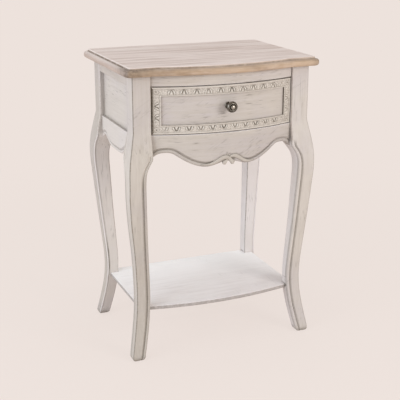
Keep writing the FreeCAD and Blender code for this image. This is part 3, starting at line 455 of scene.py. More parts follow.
class Surface:
    """Points, faces and four marks of one piece, gathered patch by patch.

    The mark edge says how much an arris is rubbed, and on the top how much painted highlight it has. Groove
    says how much glaze a hollow holds, and in gaps, recesses and at the feet how much painted shade there is.
    Tint says how much of a board's second colour shows, which in the gaps round the drawer, on the back right
    leg and on the carving is partly painted light, and cool how much of the greyer first coat does.
    """

    def __init__(self):
        self.points, self.faces = [], []
        self.marks = {"edge": [], "groove": [], "tint": [], "cool": []}
        self.count = 0

    def patch(self, places, edge=0.0, groove=0.0, tint=0.0, cool=0.0, round_rows=False, round_columns=False,
              caps=()):
        """Adds a grid of places, in rows and columns, as four-sided faces.

        round_rows joins the last row to the first, round_columns the last column to the first, and caps
        names the end rows or columns that are filled with one flat face.
        """
        rows, columns = places.shape[:2]
        index = self.count + np.arange(rows * columns).reshape(rows, columns)
        ring = index
        if round_rows:
            ring = np.vstack([ring, ring[:1]])
        if round_columns:
            ring = np.hstack([ring, ring[:, :1]])
        corners = (ring[:-1, :-1], ring[:-1, 1:], ring[1:, 1:], ring[1:, :-1])
        self.faces += np.stack(corners, -1).reshape(-1, 4).tolist()
        ends = {"first_row": index[0], "last_row": index[-1],
                "first_column": index[:, 0], "last_column": index[:, -1]}
        self.faces += [ends[cap].tolist() for cap in caps]
        self.points.append(places.reshape(-1, 3))
        for name, mark in (("edge", edge), ("groove", groove), ("tint", tint), ("cool", cool)):
            self.marks[name].append(np.broadcast_to(mark, (rows, columns)).reshape(-1))
        self.count += rows * columns
        return self


def add_piece(name, surface, body, nodes, material, crease=PLAIN_CREASE):
    """Puts a surface into a mesh, closes its seams, turns its faces outwards and rides it on its body."""
    mesh = bpy.data.meshes.new(name)
    mesh.from_pydata(np.concatenate(surface.points), [], surface.faces)
    for mark, values in surface.marks.items():
        layer = mesh.attributes.new(mark, "FLOAT", "POINT")
        layer.data.foreach_set("value", np.concatenate(values).astype(np.float32))
    form = bmesh.new()
    form.from_mesh(mesh)
    bmesh.ops.remove_doubles(form, verts=form.verts, dist=SEAM)
    bmesh.ops.recalc_face_normals(form, faces=form.faces)
    form.to_mesh(mesh)
    form.free()
    mesh.polygons.foreach_set("use_smooth", np.ones(len(mesh.polygons), bool))
    mesh.set_sharp_from_angle(angle=math.radians(crease))
    mesh.materials.append(bpy.data.materials[material])
    piece = bpy.data.objects.new(name, mesh)
    bpy.context.scene.collection.objects.link(piece)
    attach(piece, body)
    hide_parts(*nodes)
    return piece


# Corner profiles: distance back along the face before the corner, and on along the face after it


def round_corner(radius, guard=0.0008, steps=7):
    """Quarter circle that touches both faces, with a guard point on each face to keep it flat."""
    turn = np.linspace(0, math.pi / 2, steps)
    back = np.concatenate([[radius + guard], radius * (1 - np.sin(turn)), [0]])
    on = np.concatenate([[0], radius * (1 - np.cos(turn)), [radius + guard]])
    edge = np.concatenate([[0], np.sin(2 * turn), [0]])
    return SimpleNamespace(back=back, on=on, edge=edge)


def bead_corner(radius, quirk, plain_radius, amount, guard=0.0012, steps=15):
    """Three-quarter bead between two V grooves, run out into a plain rounded corner.

    The bead is a circle that touches both faces. From each face a groove slopes down to it, a quirk wide.
    Each point is a blend of the bead's place and the plain corner's, by the amount at that station.
    """
    turn = np.radians(np.linspace(20, 250, steps))
    face = 2 * radius + quirk
    back = np.concatenate([[face + guard, face], radius * (1 + np.cos(turn)), [0, 0]])
    on = np.concatenate([[0, 0], radius * (1 - np.sin(turn)), [face, face + guard]])
    quarter = np.linspace(0, math.pi / 2, steps)
    plain_back = np.concatenate([[face + guard, face], plain_radius * (1 - np.sin(quarter)), [0, 0]])
    plain_on = np.concatenate([[0, 0], plain_radius * (1 - np.cos(quarter)), [face, face + guard]])
    hollow = np.clip(1 - np.abs(np.arange(steps)[:, None] - np.array([0, steps - 1])) / 3.5, 0, 1).max(1)
    bead_groove = np.concatenate([[0, 0.75], hollow, [0.75, 0]])
    bead_edge = np.concatenate([[0, 0.30], 0.35 * np.sin(quarter * 2) ** 2, [0.30, 0]])
    crown = np.concatenate([[0, 0], np.sin(quarter * 2), [0, 0]])
    plain_edge = np.concatenate([[0, 0], np.sin(2 * quarter), [0, 0]])
    amount = np.asarray(amount, float)[:, None]
    return SimpleNamespace(
        back=plain_back + amount * (back - plain_back),
        on=plain_on + amount * (on - plain_on),
        edge=plain_edge + amount * (bead_edge - plain_edge),
        groove=amount * bead_groove,
        tint=amount * crown,
    )


# Surfaces of the pieces


def leg_swing(sizes, height):
    """How far the outer and inner faces of a leg stand out from the post's at a height.

    Each is a spline of the share of the curve's height, times the knee's swing, and nothing above the curve.
    """
    height_share = np.clip(np.asarray(height, float) / sizes.curve_height, 0, 1)
    swings = []
    for shares in (LEG_OUTER_SHARES, LEG_INNER_SHARES):
        known, swing = np.transpose(shares)
        found = spline(known, swing, np.minimum(height_share, known[-1]))
        swings.append(np.where(height_share >= known[-1], 0, found) * CASE.knee_swing)
    return swings


def leg_surface(sizes, side, end, wear_and_light):
    """A square section carried up the leg, whose four sides follow the swing of the sawn faces.

    At each height the outer and inner faces stand at the post's faces plus the swing, a spline of the
    height. The section's corners are carried with them: rounded at the outer and at the hidden corner,
    beaded at the two corners beside the aprons. Near the floor the section draws in along a quarter circle.
    A front leg's side face stands further out at the ankle and foot, by a spline of the height that is held
    inside the knee's reach. The last argument says how much glaze, whitewash, painted light and painted shade
    this leg has.
    """
    height = np.concatenate([np.linspace(0, 1, LINES.foot) ** 1.6 * sizes.foot_round,
                             np.linspace(sizes.foot_round, sizes.curve_height, LINES.leg)[1:],
                             np.linspace(sizes.curve_height, CASE.post_top, LINES.post)[1:]])
    outer, inner = leg_swing(sizes, height)
    drawn = sizes.foot_round - np.sqrt(np.maximum(
        sizes.foot_round ** 2 - np.maximum(sizes.foot_round - height, 0) ** 2, 0))
    known, shares = np.transpose(FRONT_FULL_SHARES[side])
    full = spline(known, shares, np.minimum(height / sizes.curve_height, known[-1])) * (end < 0)
    swing_x = np.minimum(outer + sizes.front_fullness * full, CASE.knee_swing)
    outer_x, inner_x = CASE.half_width + swing_x - drawn, CASE.post_inner_x + inner + drawn
    outer_y, inner_y = CASE.half_depth + outer - drawn, CASE.post_inner_y + inner + drawn
    recess = ease(height, sizes.bead_start, sizes.bead_start + sizes.bead_run_out)
    plain = round_corner(sizes.corner_round)
    bead_share = 1.0 if end < 0 else sizes.back_bead
    bead = bead_corner(bead_share * sizes.bead_radius, bead_share * sizes.quirk_width, sizes.corner_round,
                       1 - recess, wear_and_light.fade)

    def column(place):
        """One place for each height, as a column."""
        return np.asarray(place)[:, None]

    across = [column(outer_x) - plain.on, column(inner_x) + bead.back,
              column(inner_x) + plain.on, column(outer_x) - bead.back]
    along = [column(outer_y) - plain.back, column(outer_y) - bead.on,
             column(inner_y) + plain.back, column(inner_y) + bead.on]
    marks = LEG_MARKS
    # Painted shade in the recesses beside the rail and the panel, with less of it beside the drawer
    beside_drawer = ease(height, *marks.drawer_foot) * (1 - ease(height, *marks.drawer_head))
    beside = column(recess * (marks.beside_rail - marks.less_at_drawer * beside_drawer))
    panel_side = column(marks.beside_panel * recess)
    glazed = column(np.interp(height, *np.transpose(wear_and_light.glaze_and_shade)))
    before = glazed * bead.groove
    turned_in = ease(np.arange(before.shape[1]), *marks.turned)
    after = np.maximum(before * (1 - marks.less_turned * turned_in), wear_and_light.bead_glaze * bead.tint)
    # Painted shadow where the shelf's end meets the leg
    stain_and_shadow = column(wear_and_light.stain_and_shadow * bump(height - marks.shelf_shadow_height, marks.shelf_shadow_width))
    after[:, -3:] = np.maximum(after[:, -3:], np.maximum(beside * marks.beside_steps, stain_and_shadow))
    before[:, :3] = np.maximum(before[:, :3], panel_side)
    plain_edge = np.broadcast_to(plain.edge, (len(height), len(plain.edge)))
    edge = np.hstack([plain_edge, bead.edge, plain_edge, bead.edge])
    groove = np.hstack([wear_and_light.arris * plain_edge, after, wear_and_light.inner_line * plain_edge, before])
    flat = 0 * plain_edge
    white = np.hstack([flat, wear_and_light.crown * bead.tint, flat, marks.bead_white * bead.tint])
    white = wear_and_light.white + white
    inner_face = plain_edge.shape[1] + after.shape[1]
    white[:, inner_face - 2:inner_face + 3] = wear_and_light.inner_white
    side_face = np.array((-2, -1, 0))
    white[:, side_face] = wear_and_light.side_white
    groove[:, side_face] = np.maximum(groove[:, side_face], wear_and_light.side_glaze)
    across, along = np.hstack(across), np.hstack(along)
    places = np.stack([side * across, CASE.middle + end * along,
                       np.broadcast_to(column(height), across.shape)], -1)
    # Painted shadow at the foot where it meets the floor, and painted shade on the lower part of the leg
    foot = column(1 - ease(height, 0.0, marks.foot_reach * sizes.foot_round))
    lower_shade = wear_and_light.lower_shade * column(1 - ease(height, *marks.lower_shade_fade))
    groove = np.maximum(groove, np.maximum(marks.foot * foot, lower_shade))
    return Surface().patch(places, marks.rubbed * edge, groove, white, round_columns=True,
                           caps=("first_row", "last_row"))


def bow_at(x, depth, rise):
    """The Y of the bowed front at x: the circle through the middle and the posts, drawn in by the depth."""
    radius = (CASE.post_inner_x ** 2 + rise ** 2) / (2 * rise)
    return CASE.bow_front + radius - np.sqrt((radius - depth) ** 2 - np.square(x))


def apron_grid(sizes, half_length, top, drop, shares, bead_from, back_depth):
    """An apron as a board whose lower edge carries a bead.

    The lower edge is a spline of the distance from the middle. The corner profile is carried along it,
    measured along the edge's upward normal and into the board. Rows run from the rounded top edge down
    the face, round the bead, along the underside and up the back.
    Returns the distance along, the height, the depth and the edge, groove and tint marks of each point.
    """
    half = np.array(shares)
    both = np.vstack([half[:0:-1] * (-1, 1), half])
    along = np.linspace(-half_length, half_length, LINES.apron)
    low = top - drop * spline(both[:, 0], both[:, 1], along / half_length)
    run, rise = np.gradient(along), np.gradient(low)
    size = np.hypot(run, rise)
    up_along, up_height = -rise / size, run / size
    amount = np.ones_like(along)
    if bead_from:
        amount = ease(np.abs(along), bead_from, bead_from + sizes.bead_run_in)
    bead = bead_corner(sizes.bead_radius, sizes.quirk_width, sizes.plain_round, amount)
    brow = round_corner(sizes.edge_round)

    def row(values):
        """Values along the apron, as one row."""
        return np.broadcast_to(np.asarray(values, float), along.shape)[None, :]

    reach = bead.back[:, :1].T
    face_low_along, face_low_height = along + reach * up_along, low + reach * up_height
    parts = []
    for back, on, edge in zip(brow.back[::-1], brow.on[::-1], brow.edge[::-1]):
        parts.append((row(along), row(top - back), row(on), row(edge), row(0), row(0)))
    down = np.linspace(0, 1, LINES.apron_face)[1:-1, None]
    start = top - brow.back[0]
    back_rubbed = 0.5
    plain = np.zeros((len(down), len(along)))
    parts.append((along + down * (face_low_along - along), start + down * (face_low_height - start),
                  plain, plain, plain, plain))
    parts.append((along + bead.back.T * up_along, low + bead.back.T * up_height, bead.on.T,
                  bead.edge.T, bead.groove.T, bead.tint.T))
    parts.append((row(along), row(low), row(back_depth(along)), row(back_rubbed), row(0), row(0)))
    parts.append((row(along), row(top), row(back_depth(along)), row(0), row(0), row(0)))
    return [np.vstack(part) for part in zip(*parts)]


# Carved stems: length of the blunt ends and height as shares of the half breadth, the depth to which a stem
# is sunk, glaze on its flanks, painted shade on its lower side, glaze all over it and on the face beside it,
# and how far the last reaches
STEM = SimpleNamespace(blunt=0.9, proud=0.72, sunk=0.0004, flank=0.85, under=0.45, least=0.14, beside=0.75,
                       beside_fade=0.0016)


def stem_surface(surface, stem, place):
    """A round stem carried along a carved line, swelling and tapering with the line's breadth.

    The line is a spline through the stem's points. The section is an ellipse that stands proud of the
    face, and the radius falls to nothing at both ends along a quarter ellipse.
    """
    points = np.array(stem) * MILLIMETRE
    knots = np.concatenate([[0], np.cumsum(np.hypot(*np.diff(points[:, :2], axis=0).T))])
    total = knots[-1]
    blunt = points[[0, -1], 2] * STEM.blunt
    station = (1 - np.cos(np.linspace(0, math.pi, LINES.stem))) / 2 * total
    along, height, breadth = (spline(knots, points[:, part], station) for part in range(3))
    lead = np.clip(station / blunt[0], 0, 1)
    tail = np.clip((total - station) / blunt[1], 0, 1)
    breadth = breadth * np.sqrt(np.maximum(1 - (1 - lead) ** 2, 0))
    breadth = breadth * np.sqrt(np.maximum(1 - (1 - tail) ** 2, 0))
    run, rise = np.gradient(along), np.gradient(height)
    size = np.hypot(run, rise)
    turn = np.linspace(0, 2 * math.pi, LINES.stem_round + 1)[:-1]
    across = breadth[:, None] * np.cos(turn)
    proud = breadth[:, None] * STEM.proud * np.sin(turn) - STEM.sunk
    down = -np.cos(turn) * (run / size)[:, None]
    # Painted shade on the stem's lower side
    groove = np.maximum(STEM.flank * ease(-np.sin(turn), -0.70, -0.1), STEM.under * ease(down, 0.45, 0.95))
    groove = np.maximum(groove, STEM.least)
    places = place(along[:, None] - across * (rise / size)[:, None],
                   height[:, None] + across * (run / size)[:, None], -proud)
    return surface.patch(places, 0.0, groove, round_columns=True)


def stem_glaze(along, height):
    """Glaze on the face round the carved stems: it falls off with the distance outside the nearest stem."""
    lead = np.vstack([np.array(stem)[:-1] for stem in CREST_STEMS]) * MILLIMETRE
    tail = np.vstack([np.array(stem)[1:] for stem in CREST_STEMS]) * MILLIMETRE
    step = np.linspace(0, 1, 9)[:, None, None]
    points = (lead + step * (tail - lead)).reshape(-1, 3)
    away = np.hypot(along[..., None] - points[:, 0], height[..., None] - points[:, 1]) - points[:, 2]
    return STEM.beside * np.exp(-np.maximum(away.min(-1), 0) / STEM.beside_fade)


def front_apron_surface(sizes):
    """The front apron and its carved crest, set on the bow: depth is measured in from the bowed face."""

    def place(along, height, depth):
        """A place that lies its depth behind the bowed front."""
        return np.stack([along, bow_at(along, 0, sizes.bow_rise) + depth, height], -1)

    def back_depth(along):
        """Depth from the bowed front to the rail's flat back."""
        return CASE.rail_back - bow_at(along, 0, sizes.bow_rise)

    along, height, depth, edge, groove, white = apron_grid(
        sizes, CASE.post_inner_x, CASE.apron_top, sizes.front_drop, FRONT_APRON_SHARES,
        sizes.crest_plain, back_depth)
    marks = FRONT_APRON_MARKS
    reach = CASE.post_inner_x + sizes.end_reach
    quirks = marks.groove * groove * (1 - marks.less_right * ease(along, *marks.right))
    crest = stem_glaze(along, height) * (depth < sizes.crest_depth)
    groove = np.maximum.reduce([quirks, crest, marks.crown * white, np.full_like(along, marks.least)])
    cool = marks.cool * bump(along - marks.cool_place, marks.cool_width)
    cool = cool * ease(CASE.apron_top - height, 0.0, marks.cool_start)
    upper = ease(height, CASE.apron_top - sizes.edge_round, CASE.apron_top)
    places = place(np.clip(along, -reach, reach), height, depth)
    surface = Surface().patch(places, edge * (1 - marks.less_upper * upper), groove, upper, cool,
                              round_rows=True, caps=("first_column", "last_column"))
    for stem in CREST_STEMS:
        stem_surface(surface, stem, place)
    return surface


def side_apron_surface(sizes, side):
    """A side apron: the same bead on a flat board, along Y, with depth measured in from its outer face."""
    low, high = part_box("side_apron_right")

    def back_depth(along):
        """The apron's thickness, the same all along."""
        return np.full_like(along, high.x - low.x)

    along, height, depth, edge, groove, white = apron_grid(
        sizes, CASE.post_inner_y, high.z, high.z - low.z, SIDE_APRON_SHARES, 0, back_depth)
    places = np.stack([side * (high.x - depth), CASE.middle + along, height], -1)
    marks = SIDE_APRON_MARKS
    # Painted shade on the ledge, in the recess under the panel
    ledge = marks.ledge * (height > high.z - SEAM) * (depth > SEAM)
    return Surface().patch(places, marks.rubbed * edge, np.maximum(marks.groove * groove, ledge),
                           np.maximum(marks.crown * white, marks.wash), round_rows=True,
                           caps=("first_column", "last_column"))


def side_panel_surface(sizes, side):
    """A side panel: an eased board with painted shade in its corners with the apron and the back post.

    The shade falls off with the height above the apron and with the distance from the post.
    """
    low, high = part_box(f"side_panel_{side}")
    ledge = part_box(f"side_apron_{side}")[1].z
    back = CASE.middle + CASE.post_inner_y
    between = ((), back - np.concatenate([PANEL_LINES.near, PANEL_LINES.far]), ledge + PANEL_LINES.near)
    surface = eased_board(low, high, sizes.panel_ease, between)
    places = np.concatenate(surface.points)
    above, before = np.maximum(places[:, 2] - ledge, 0), np.maximum(back - places[:, 1], 0)
    # Painted shade in the recesses above the apron and beside the back post
    surface.marks["groove"] = [np.maximum(PANEL_MARKS.apron * np.exp(-above / PANEL_MARKS.apron_fade),
                                          PANEL_MARKS.post * np.exp(-before / PANEL_MARKS.post_fade))]
    surface.marks["tint"] = [np.full(len(places), PANEL_MARKS.wash)]
    return surface


def eased_board(low, high, radius, between=((), (), ()), bend=None):
    """A board with rounded edges: a ball of the easing radius rolled over the shrunken box.

    Each point of the box's skin keeps its nearest point in the shrunken box and stands one radius from it.
    Between holds further grid lines along X, Y and Z, and a bend function then moves the places. An edge is
    marked by how far its normal turns from the faces, all of it half way round.
    """
    low, high = np.array(low), np.array(high)
    first_step = 0.35 * radius
    half_way = 0.29
    lines = []
    for axis in range(3):
        start, stop = low[axis], high[axis]
        ends = (start, start + first_step, start + radius, stop - radius, stop - first_step, stop)
        lines.append(np.sort(np.concatenate([ends, between[axis]])))
    surface = Surface()
    for axis in range(3):
        first, second = (other for other in range(3) if other != axis)
        for wall in (low[axis], high[axis]):
            grid = np.zeros((len(lines[first]), len(lines[second]), 3))
            grid[..., axis] = wall
            grid[..., first] = lines[first][:, None]
            grid[..., second] = lines[second][None, :]
            core = np.clip(grid, low + radius, high - radius)
            out = grid - core
            out /= np.linalg.norm(out, axis=-1, keepdims=True)
            places = core + radius * out
            edge = np.clip((1 - np.abs(out).max(-1)) / half_way, 0, 1)
            surface.patch(places if bend is None else bend(places), edge)
    return surface


def bowed_board(node, radius, bow_rise, between):
    """A board with a flat back whose front is pushed out to the bow, by the distance from the back."""
    low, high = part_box(node)
    depth = low.y - CASE.bow_front
    end = bow_at(high.x, depth, bow_rise)

    def bend(places):
        """Places shifted along Y by the bow: all of it at the front, and none at the flat back."""
        out = (high.y - places[..., 1]) / (high.y - end)
        shift = bow_at(places[..., 0], depth, bow_rise) - end
        return places + np.stack([0 * out, out * shift, 0 * out], -1)

    return eased_board((low.x, end, low.z), (high.x, high.y, high.z), radius, between, bend)


def gap_light(x):
    """Painted light in the gap above the drawer: full just left of the middle, and none towards the posts."""
    return ease(x, *GAP_LIGHT.start) * (1 - ease(x, *GAP_LIGHT.end))


def drawer_front_surface(sizes, aprons):
    """The drawer's bowed front, with glaze gathered along the inner edge of the carved strips.

    The glaze falls off with the distance inside the opening that the strips leave; beside the right strip it
    is mostly painted shade. The rim outside the strips, in the gap round the drawer, has painted shade
    instead, which fades towards the right.
    """
    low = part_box("drawer_front")[0]
    inner_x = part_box("drawer_moulding_right")[0].x
    inner_low, inner_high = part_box("drawer_moulding_bottom")[1].z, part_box("drawer_moulding_top")[0].z
    across = np.concatenate([np.linspace(-inner_x, inner_x, LINES.drawer_width), inner_x - DRAWER_LINES,
                             DRAWER_LINES - inner_x])
    upright = np.concatenate([np.linspace(inner_low, inner_high, LINES.drawer_height),
                              inner_low + DRAWER_LINES, inner_high - DRAWER_LINES])
    surface = bowed_board("drawer_front", aprons.board_ease, aprons.bow_rise, (across, (), upright))
    places = np.concatenate(surface.points)
    inside = {"left": places[:, 0] + inner_x, "right": inner_x - places[:, 0],
              "bottom": places[:, 2] - inner_low, "top": inner_high - places[:, 2]}
    border = inner_low - low.z - 0.75 * aprons.board_ease
    left = 1 - ease(places[:, 0], *DRAWER_MARKS.left)
    rim = np.minimum.reduce(list(inside.values())) < -border
    # Painted shade on the rim in the gap round the drawer and along the right strip's inner edge; glaze
    # elsewhere along the strips
    surface.marks["groove"] = [np.maximum.reduce([
        np.where(rim, STRIPS[side].side * left * (away < -border),
                 STRIPS[side].inner * np.exp(-np.maximum(away, 0) / sizes.panel_glaze))
        for side, away in inside.items()])]
    level_rim = np.minimum(inside["top"], inside["bottom"]) < -border
    surface.marks["cool"] = [DRAWER_MARKS.cool + DRAWER_MARKS.left_cool * left]
    surface.marks["edge"] = [DRAWER_MARKS.rubbed * np.concatenate(surface.marks["edge"])]
    # Painted light on the upper and lower rims, which lie in the gaps above and below the drawer
    surface.marks["tint"] = [DRAWER_MARKS.rim_light * level_rim]
    return surface


def mitred(plan):
    """Outward directions of an outline's points, so long that a mitred inset stays parallel to both sides."""
    run = np.roll(plan, -1, 0) - plan
    run = run / np.linalg.norm(run, axis=1, keepdims=True)
    after = np.stack([-run[:, 1], run[:, 0]], -1)
    before = np.roll(after, 1, 0)
    return (before + after) / (1 + (before * after).sum(1, keepdims=True))


def mirrored(right):
    """A whole outline from its right half, which runs from the back's middle to the front's."""
    return np.vstack([right, right[-2:0:-1] * (-1, 1)])


def shelf_surface(sizes, legs):
    """The shelf's eased edge carried round its plan: a board notched at the ankles, with a bowed front.

    The notches stand a fit gap off the inner faces of the legs at the shelf's middle height, and the front
    is the circle through the middle and the ends.
    """
    low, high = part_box("shelf")
    swing = leg_swing(legs, np.array([(low.z + high.z) / 2]))[1][0] - sizes.fit_gap
    notch_x, notch_y = CASE.post_inner_x + swing, CASE.post_inner_y + swing
    radius = (high.x ** 2 + sizes.bow_rise ** 2) / (2 * sizes.bow_rise)
    front_x = np.linspace(notch_x, 0, LINES.shelf_front)
    front_y = low.y + radius - np.sqrt(radius ** 2 - front_x ** 2)
    back_x = np.linspace(0, notch_x, LINES.shelf_straight)
    side_y = np.linspace(notch_y, -notch_y, LINES.shelf_straight)
    middle = CASE.middle
    right = np.vstack([
        np.stack([back_x, np.full_like(back_x, high.y)], -1),
        np.array([(notch_x, middle + notch_y)]),
        np.stack([np.full_like(side_y, high.x), middle + side_y], -1),
        np.array([(notch_x, middle - notch_y)]),
        np.stack([front_x, front_y], -1),
    ])
    plan = mirrored(right)
    ease_round, turn = sizes.ease, np.linspace(0, math.pi / 2, LINES.shelf_round)
    inset = np.concatenate([[ease_round + EDGE_GUARD], ease_round * (1 - np.sin(turn)),
                            ease_round * (1 - np.cos(turn)), [ease_round + EDGE_GUARD]])
    height = np.concatenate([[high.z], high.z - ease_round * (1 - np.cos(turn)),
                             low.z + ease_round * (1 - np.sin(turn)), [low.z]])
    outward = mitred(plan)
    marks = SHELF_MARKS
    worn = np.concatenate([[0], ease(turn, *marks.arris), np.ones_like(turn), [marks.under]])
    front = ease(-outward[:, 1], *marks.facing) * (1 - marks.less_right * ease(plan[:, 0], *marks.right))
    side = ease(np.abs(outward[:, 0]), *marks.facing)
    worn = worn[:, None] * (marks.glaze_and_shade + marks.front * front + marks.side * side)
    ring = plan[None] - inset[:, None, None] * outward[None]
    places = np.concatenate([ring, np.broadcast_to(height[:, None, None], ring.shape[:2] + (1,))], -1)
    return Surface().patch(places, 0.0, worn, round_columns=True, caps=("first_row", "last_row"))


def top_plan(sizes):
    """Outline of the top from above.

    The right half runs from the back's middle round two corner circles to the straight end of the front,
    over a hollow blend circle that touches both, and along the bow's circle to the middle. The left half
    is its mirror image.
    """
    low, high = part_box("top_board")
    corner, blend, rise = sizes.corner_round, sizes.bow_blend, sizes.bow_rise
    front = low.y + rise
    radius = ((sizes.bow_width / 2) ** 2 + rise ** 2) / (2 * rise)
    centre = low.y + radius
    blend_y = front - blend
    blend_x = math.sqrt((radius + blend) ** 2 - (centre - blend_y) ** 2)
    meet = math.atan2(centre - blend_y, -blend_x)

    def arc(x, y, size, start, stop, steps):
        """Points on a circle round x and y, from one turn to another."""
        turn = np.linspace(start, stop, steps)
        return np.stack([x + size * np.cos(turn), y + size * np.sin(turn)], -1)

    quarter = math.pi / 2
    right = np.vstack([
        np.stack([np.linspace(0, high.x - corner, 14)[:-1], np.full(13, high.y)], -1),
        arc(high.x - corner, high.y - corner, corner, quarter, 0, 13),
        np.stack([np.full(16, high.x), np.linspace(high.y - corner, front + corner, 18)[1:-1]], -1),
        arc(high.x - corner, front + corner, corner, 0, -quarter, 13),
        np.stack([np.linspace(high.x - corner, blend_x, 5)[1:-1], np.full(3, front)], -1),
        arc(blend_x, blend_y, blend, quarter, meet, 12),
        arc(0, centre, radius, meet - math.pi, -quarter, 40)[1:],
    ])
    return mirrored(right)


def top_surface(sizes):
    """The top's edge profile carried round its plan, with the two flat faces closing it.

    The profile runs from the flat top over the lip's rounded arris, down the lip's wall, out along the
    ledge, round the nose of the slab and back under it. Each point is an inset from the plan and a height.
    The marks are first worked out along the profile and then blended along the plan.
    """
    marks = TOP_MARKS
    low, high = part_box("top_board")
    plan = top_plan(sizes)
    outward = mitred(plan)
    ledge = high.z - sizes.lip_height
    turn = np.linspace(0, math.pi / 2, LINES.top_round)
    lip, nose = sizes.lip_round, sizes.nose_round
    inset = np.concatenate([
        [sizes.lip_inset + lip + EDGE_GUARD], sizes.lip_inset + lip * (1 - np.sin(turn)),
        sizes.lip_inset - TOP_HOLLOW.out,
        nose * (1 - np.sin(turn)), nose * (1 - np.cos(turn)), [nose + 2 * EDGE_GUARD]])
    height = np.concatenate([
        [high.z], high.z - lip * (1 - np.cos(turn)), ledge + TOP_HOLLOW.up,
        ledge - nose * (1 - np.cos(turn)), low.z + nose * (1 - np.sin(turn)), [low.z]])

    def profile(arris, wall, upper=0.0, under=0.0, back=0.0):
        """A mark along the profile: the flat top's is none, then those of arris, wall, nose and underside."""
        flat = 0 * turn
        return np.concatenate([[0], arris + flat, wall, upper + flat, under + flat, [back]])[:, None]

    # Painted highlight on the lip's arris and, at the left end, on the ledge
    lip_highlight = profile(marks.lime_highlight * np.sin(2 * turn) ** 0.5, (0, 0, 0))
    ledge_highlight = profile(0.0, (0, 0, marks.lime_highlight), marks.lime_highlight * np.cos(turn) ** 2)
    # Painted shadow line under the lip, strongest at the left end
    line = profile(0.7 * ease(turn, 1.0, 1.5), (1, 1, 0.5))
    shade = profile(0.0, (0, 0, 0), marks.shade * ease(-turn, -1.5, -0.4))
    front = profile(0.7 * ease(turn, 0.0, 1.1), (0.7, 0.8, 0.8), 0.8 + 0.2 * turn, 1.0, 1.0)
    flank = profile(0.3 * ease(turn, 0.9, 1.5), (0.3, 0.3, 0), 0.0, 0.15, 0.3)
    sideways = ease(np.abs(outward[:, 0]), *marks.ends)
    left = ease(-outward[:, 0], *marks.left)
    tint = front + (flank - front) * sideways
    forward = plan[:, 1] - low.y - sizes.bow_rise
    worn = bump(np.hypot(plan[:, 0] - low.x, forward), marks.left_corner)
    worn = worn + marks.right_worn * bump(np.hypot(plan[:, 0] - high.x, forward), marks.right_corner)
    kept = 1 - marks.less_right * ease(plan[:, 0], *marks.right)
    edge = lip_highlight * kept + ledge_highlight * left * (1 - worn)
    bare = (marks.worn * worn + marks.end_glaze * sideways) * (front >= marks.bare)
    groove = line * np.maximum(marks.front_lip_shadow, left) + shade * (1 - sideways) + bare
    ring = plan[None] - inset[:, None, None] * outward[None]
    places = np.concatenate([ring, np.broadcast_to(height[:, None, None], ring.shape[:2] + (1,))], -1)
    return Surface().patch(places, edge, np.clip(groove, 0, 1), tint, round_columns=True,
                           caps=("first_row", "last_row"))


def tool_marks(along, across):
    """Dimples that the carver's tool leaves, from -1 to 1: waves along the strip times waves across it.

    Each wave is a sine that sways with a slower sine of the other direction.
    """
    dimples = np.sin(along / TOOLING.along + 2 * np.sin(across / TOOLING.across_sway))
    return dimples * np.sin(across / TOOLING.across + 1.7 * np.sin(along / TOOLING.along_sway))


def leaf_and_dart(sizes, strip, along, across, tip):
    """The motifs along a strip: domes of darts and leaves, the sunk ground, the cuts and the darts' points.

    A dart widens from its tip as the distance from the outer edge grows, a leaf leans along each side of it,
    and the ground between them is sunk. Dart and leaves are domes, the square root of one less the squared
    distance from their middle line. Number counts the darts, and no two of them stand quite alike.
    """
    number = np.round((along - strip.phase) / strip.pitch)
    stray = MOTIF.stray * np.sin(number * 2.7 + 0.6)
    place = np.abs(along - strip.phase - number * strip.pitch + stray)
    rise = across - tip - MOTIF.tip_stray * np.sin(number * 1.9)
    share_up = np.clip(rise / (ACROSS.dart_end - tip), 0, 1)
    dart_half = sizes.dart_spread * share_up ** 0.9
    leaf_half = sizes.leaf_half * np.sin(math.pi * np.clip(0.14 + 0.78 * share_up, 0, 1)) ** 0.6
    leaf_middle = dart_half + sizes.cut_width + leaf_half
    dart = np.sqrt(np.clip(1 - (place / np.maximum(dart_half, MOTIF.least_half)) ** 2, 0, 1)) * (rise > 0)
    leaf = np.sqrt(np.clip(1 - ((place - leaf_middle) / leaf_half) ** 2, 0, 1))
    leaf = leaf * ease(rise, *MOTIF.leaf_start)
    within = ease(rise, *MOTIF.sunk_start) * (1 - ease(across, *ACROSS.sunk_end))
    return SimpleNamespace(
        number=number, dart=dart, leaf=leaf, within=within, raised=np.maximum(0.85 * dart, leaf),
        sunk=within * (1 - ease(place - leaf_middle - leaf_half, 0.0, MOTIF.sunk_edge)),
        cut=bump(place - dart_half - 0.5 * sizes.cut_width, 0.8 * sizes.cut_width),
        point=bump(np.hypot(place, rise - MOTIF.point), MOTIF.point_width))


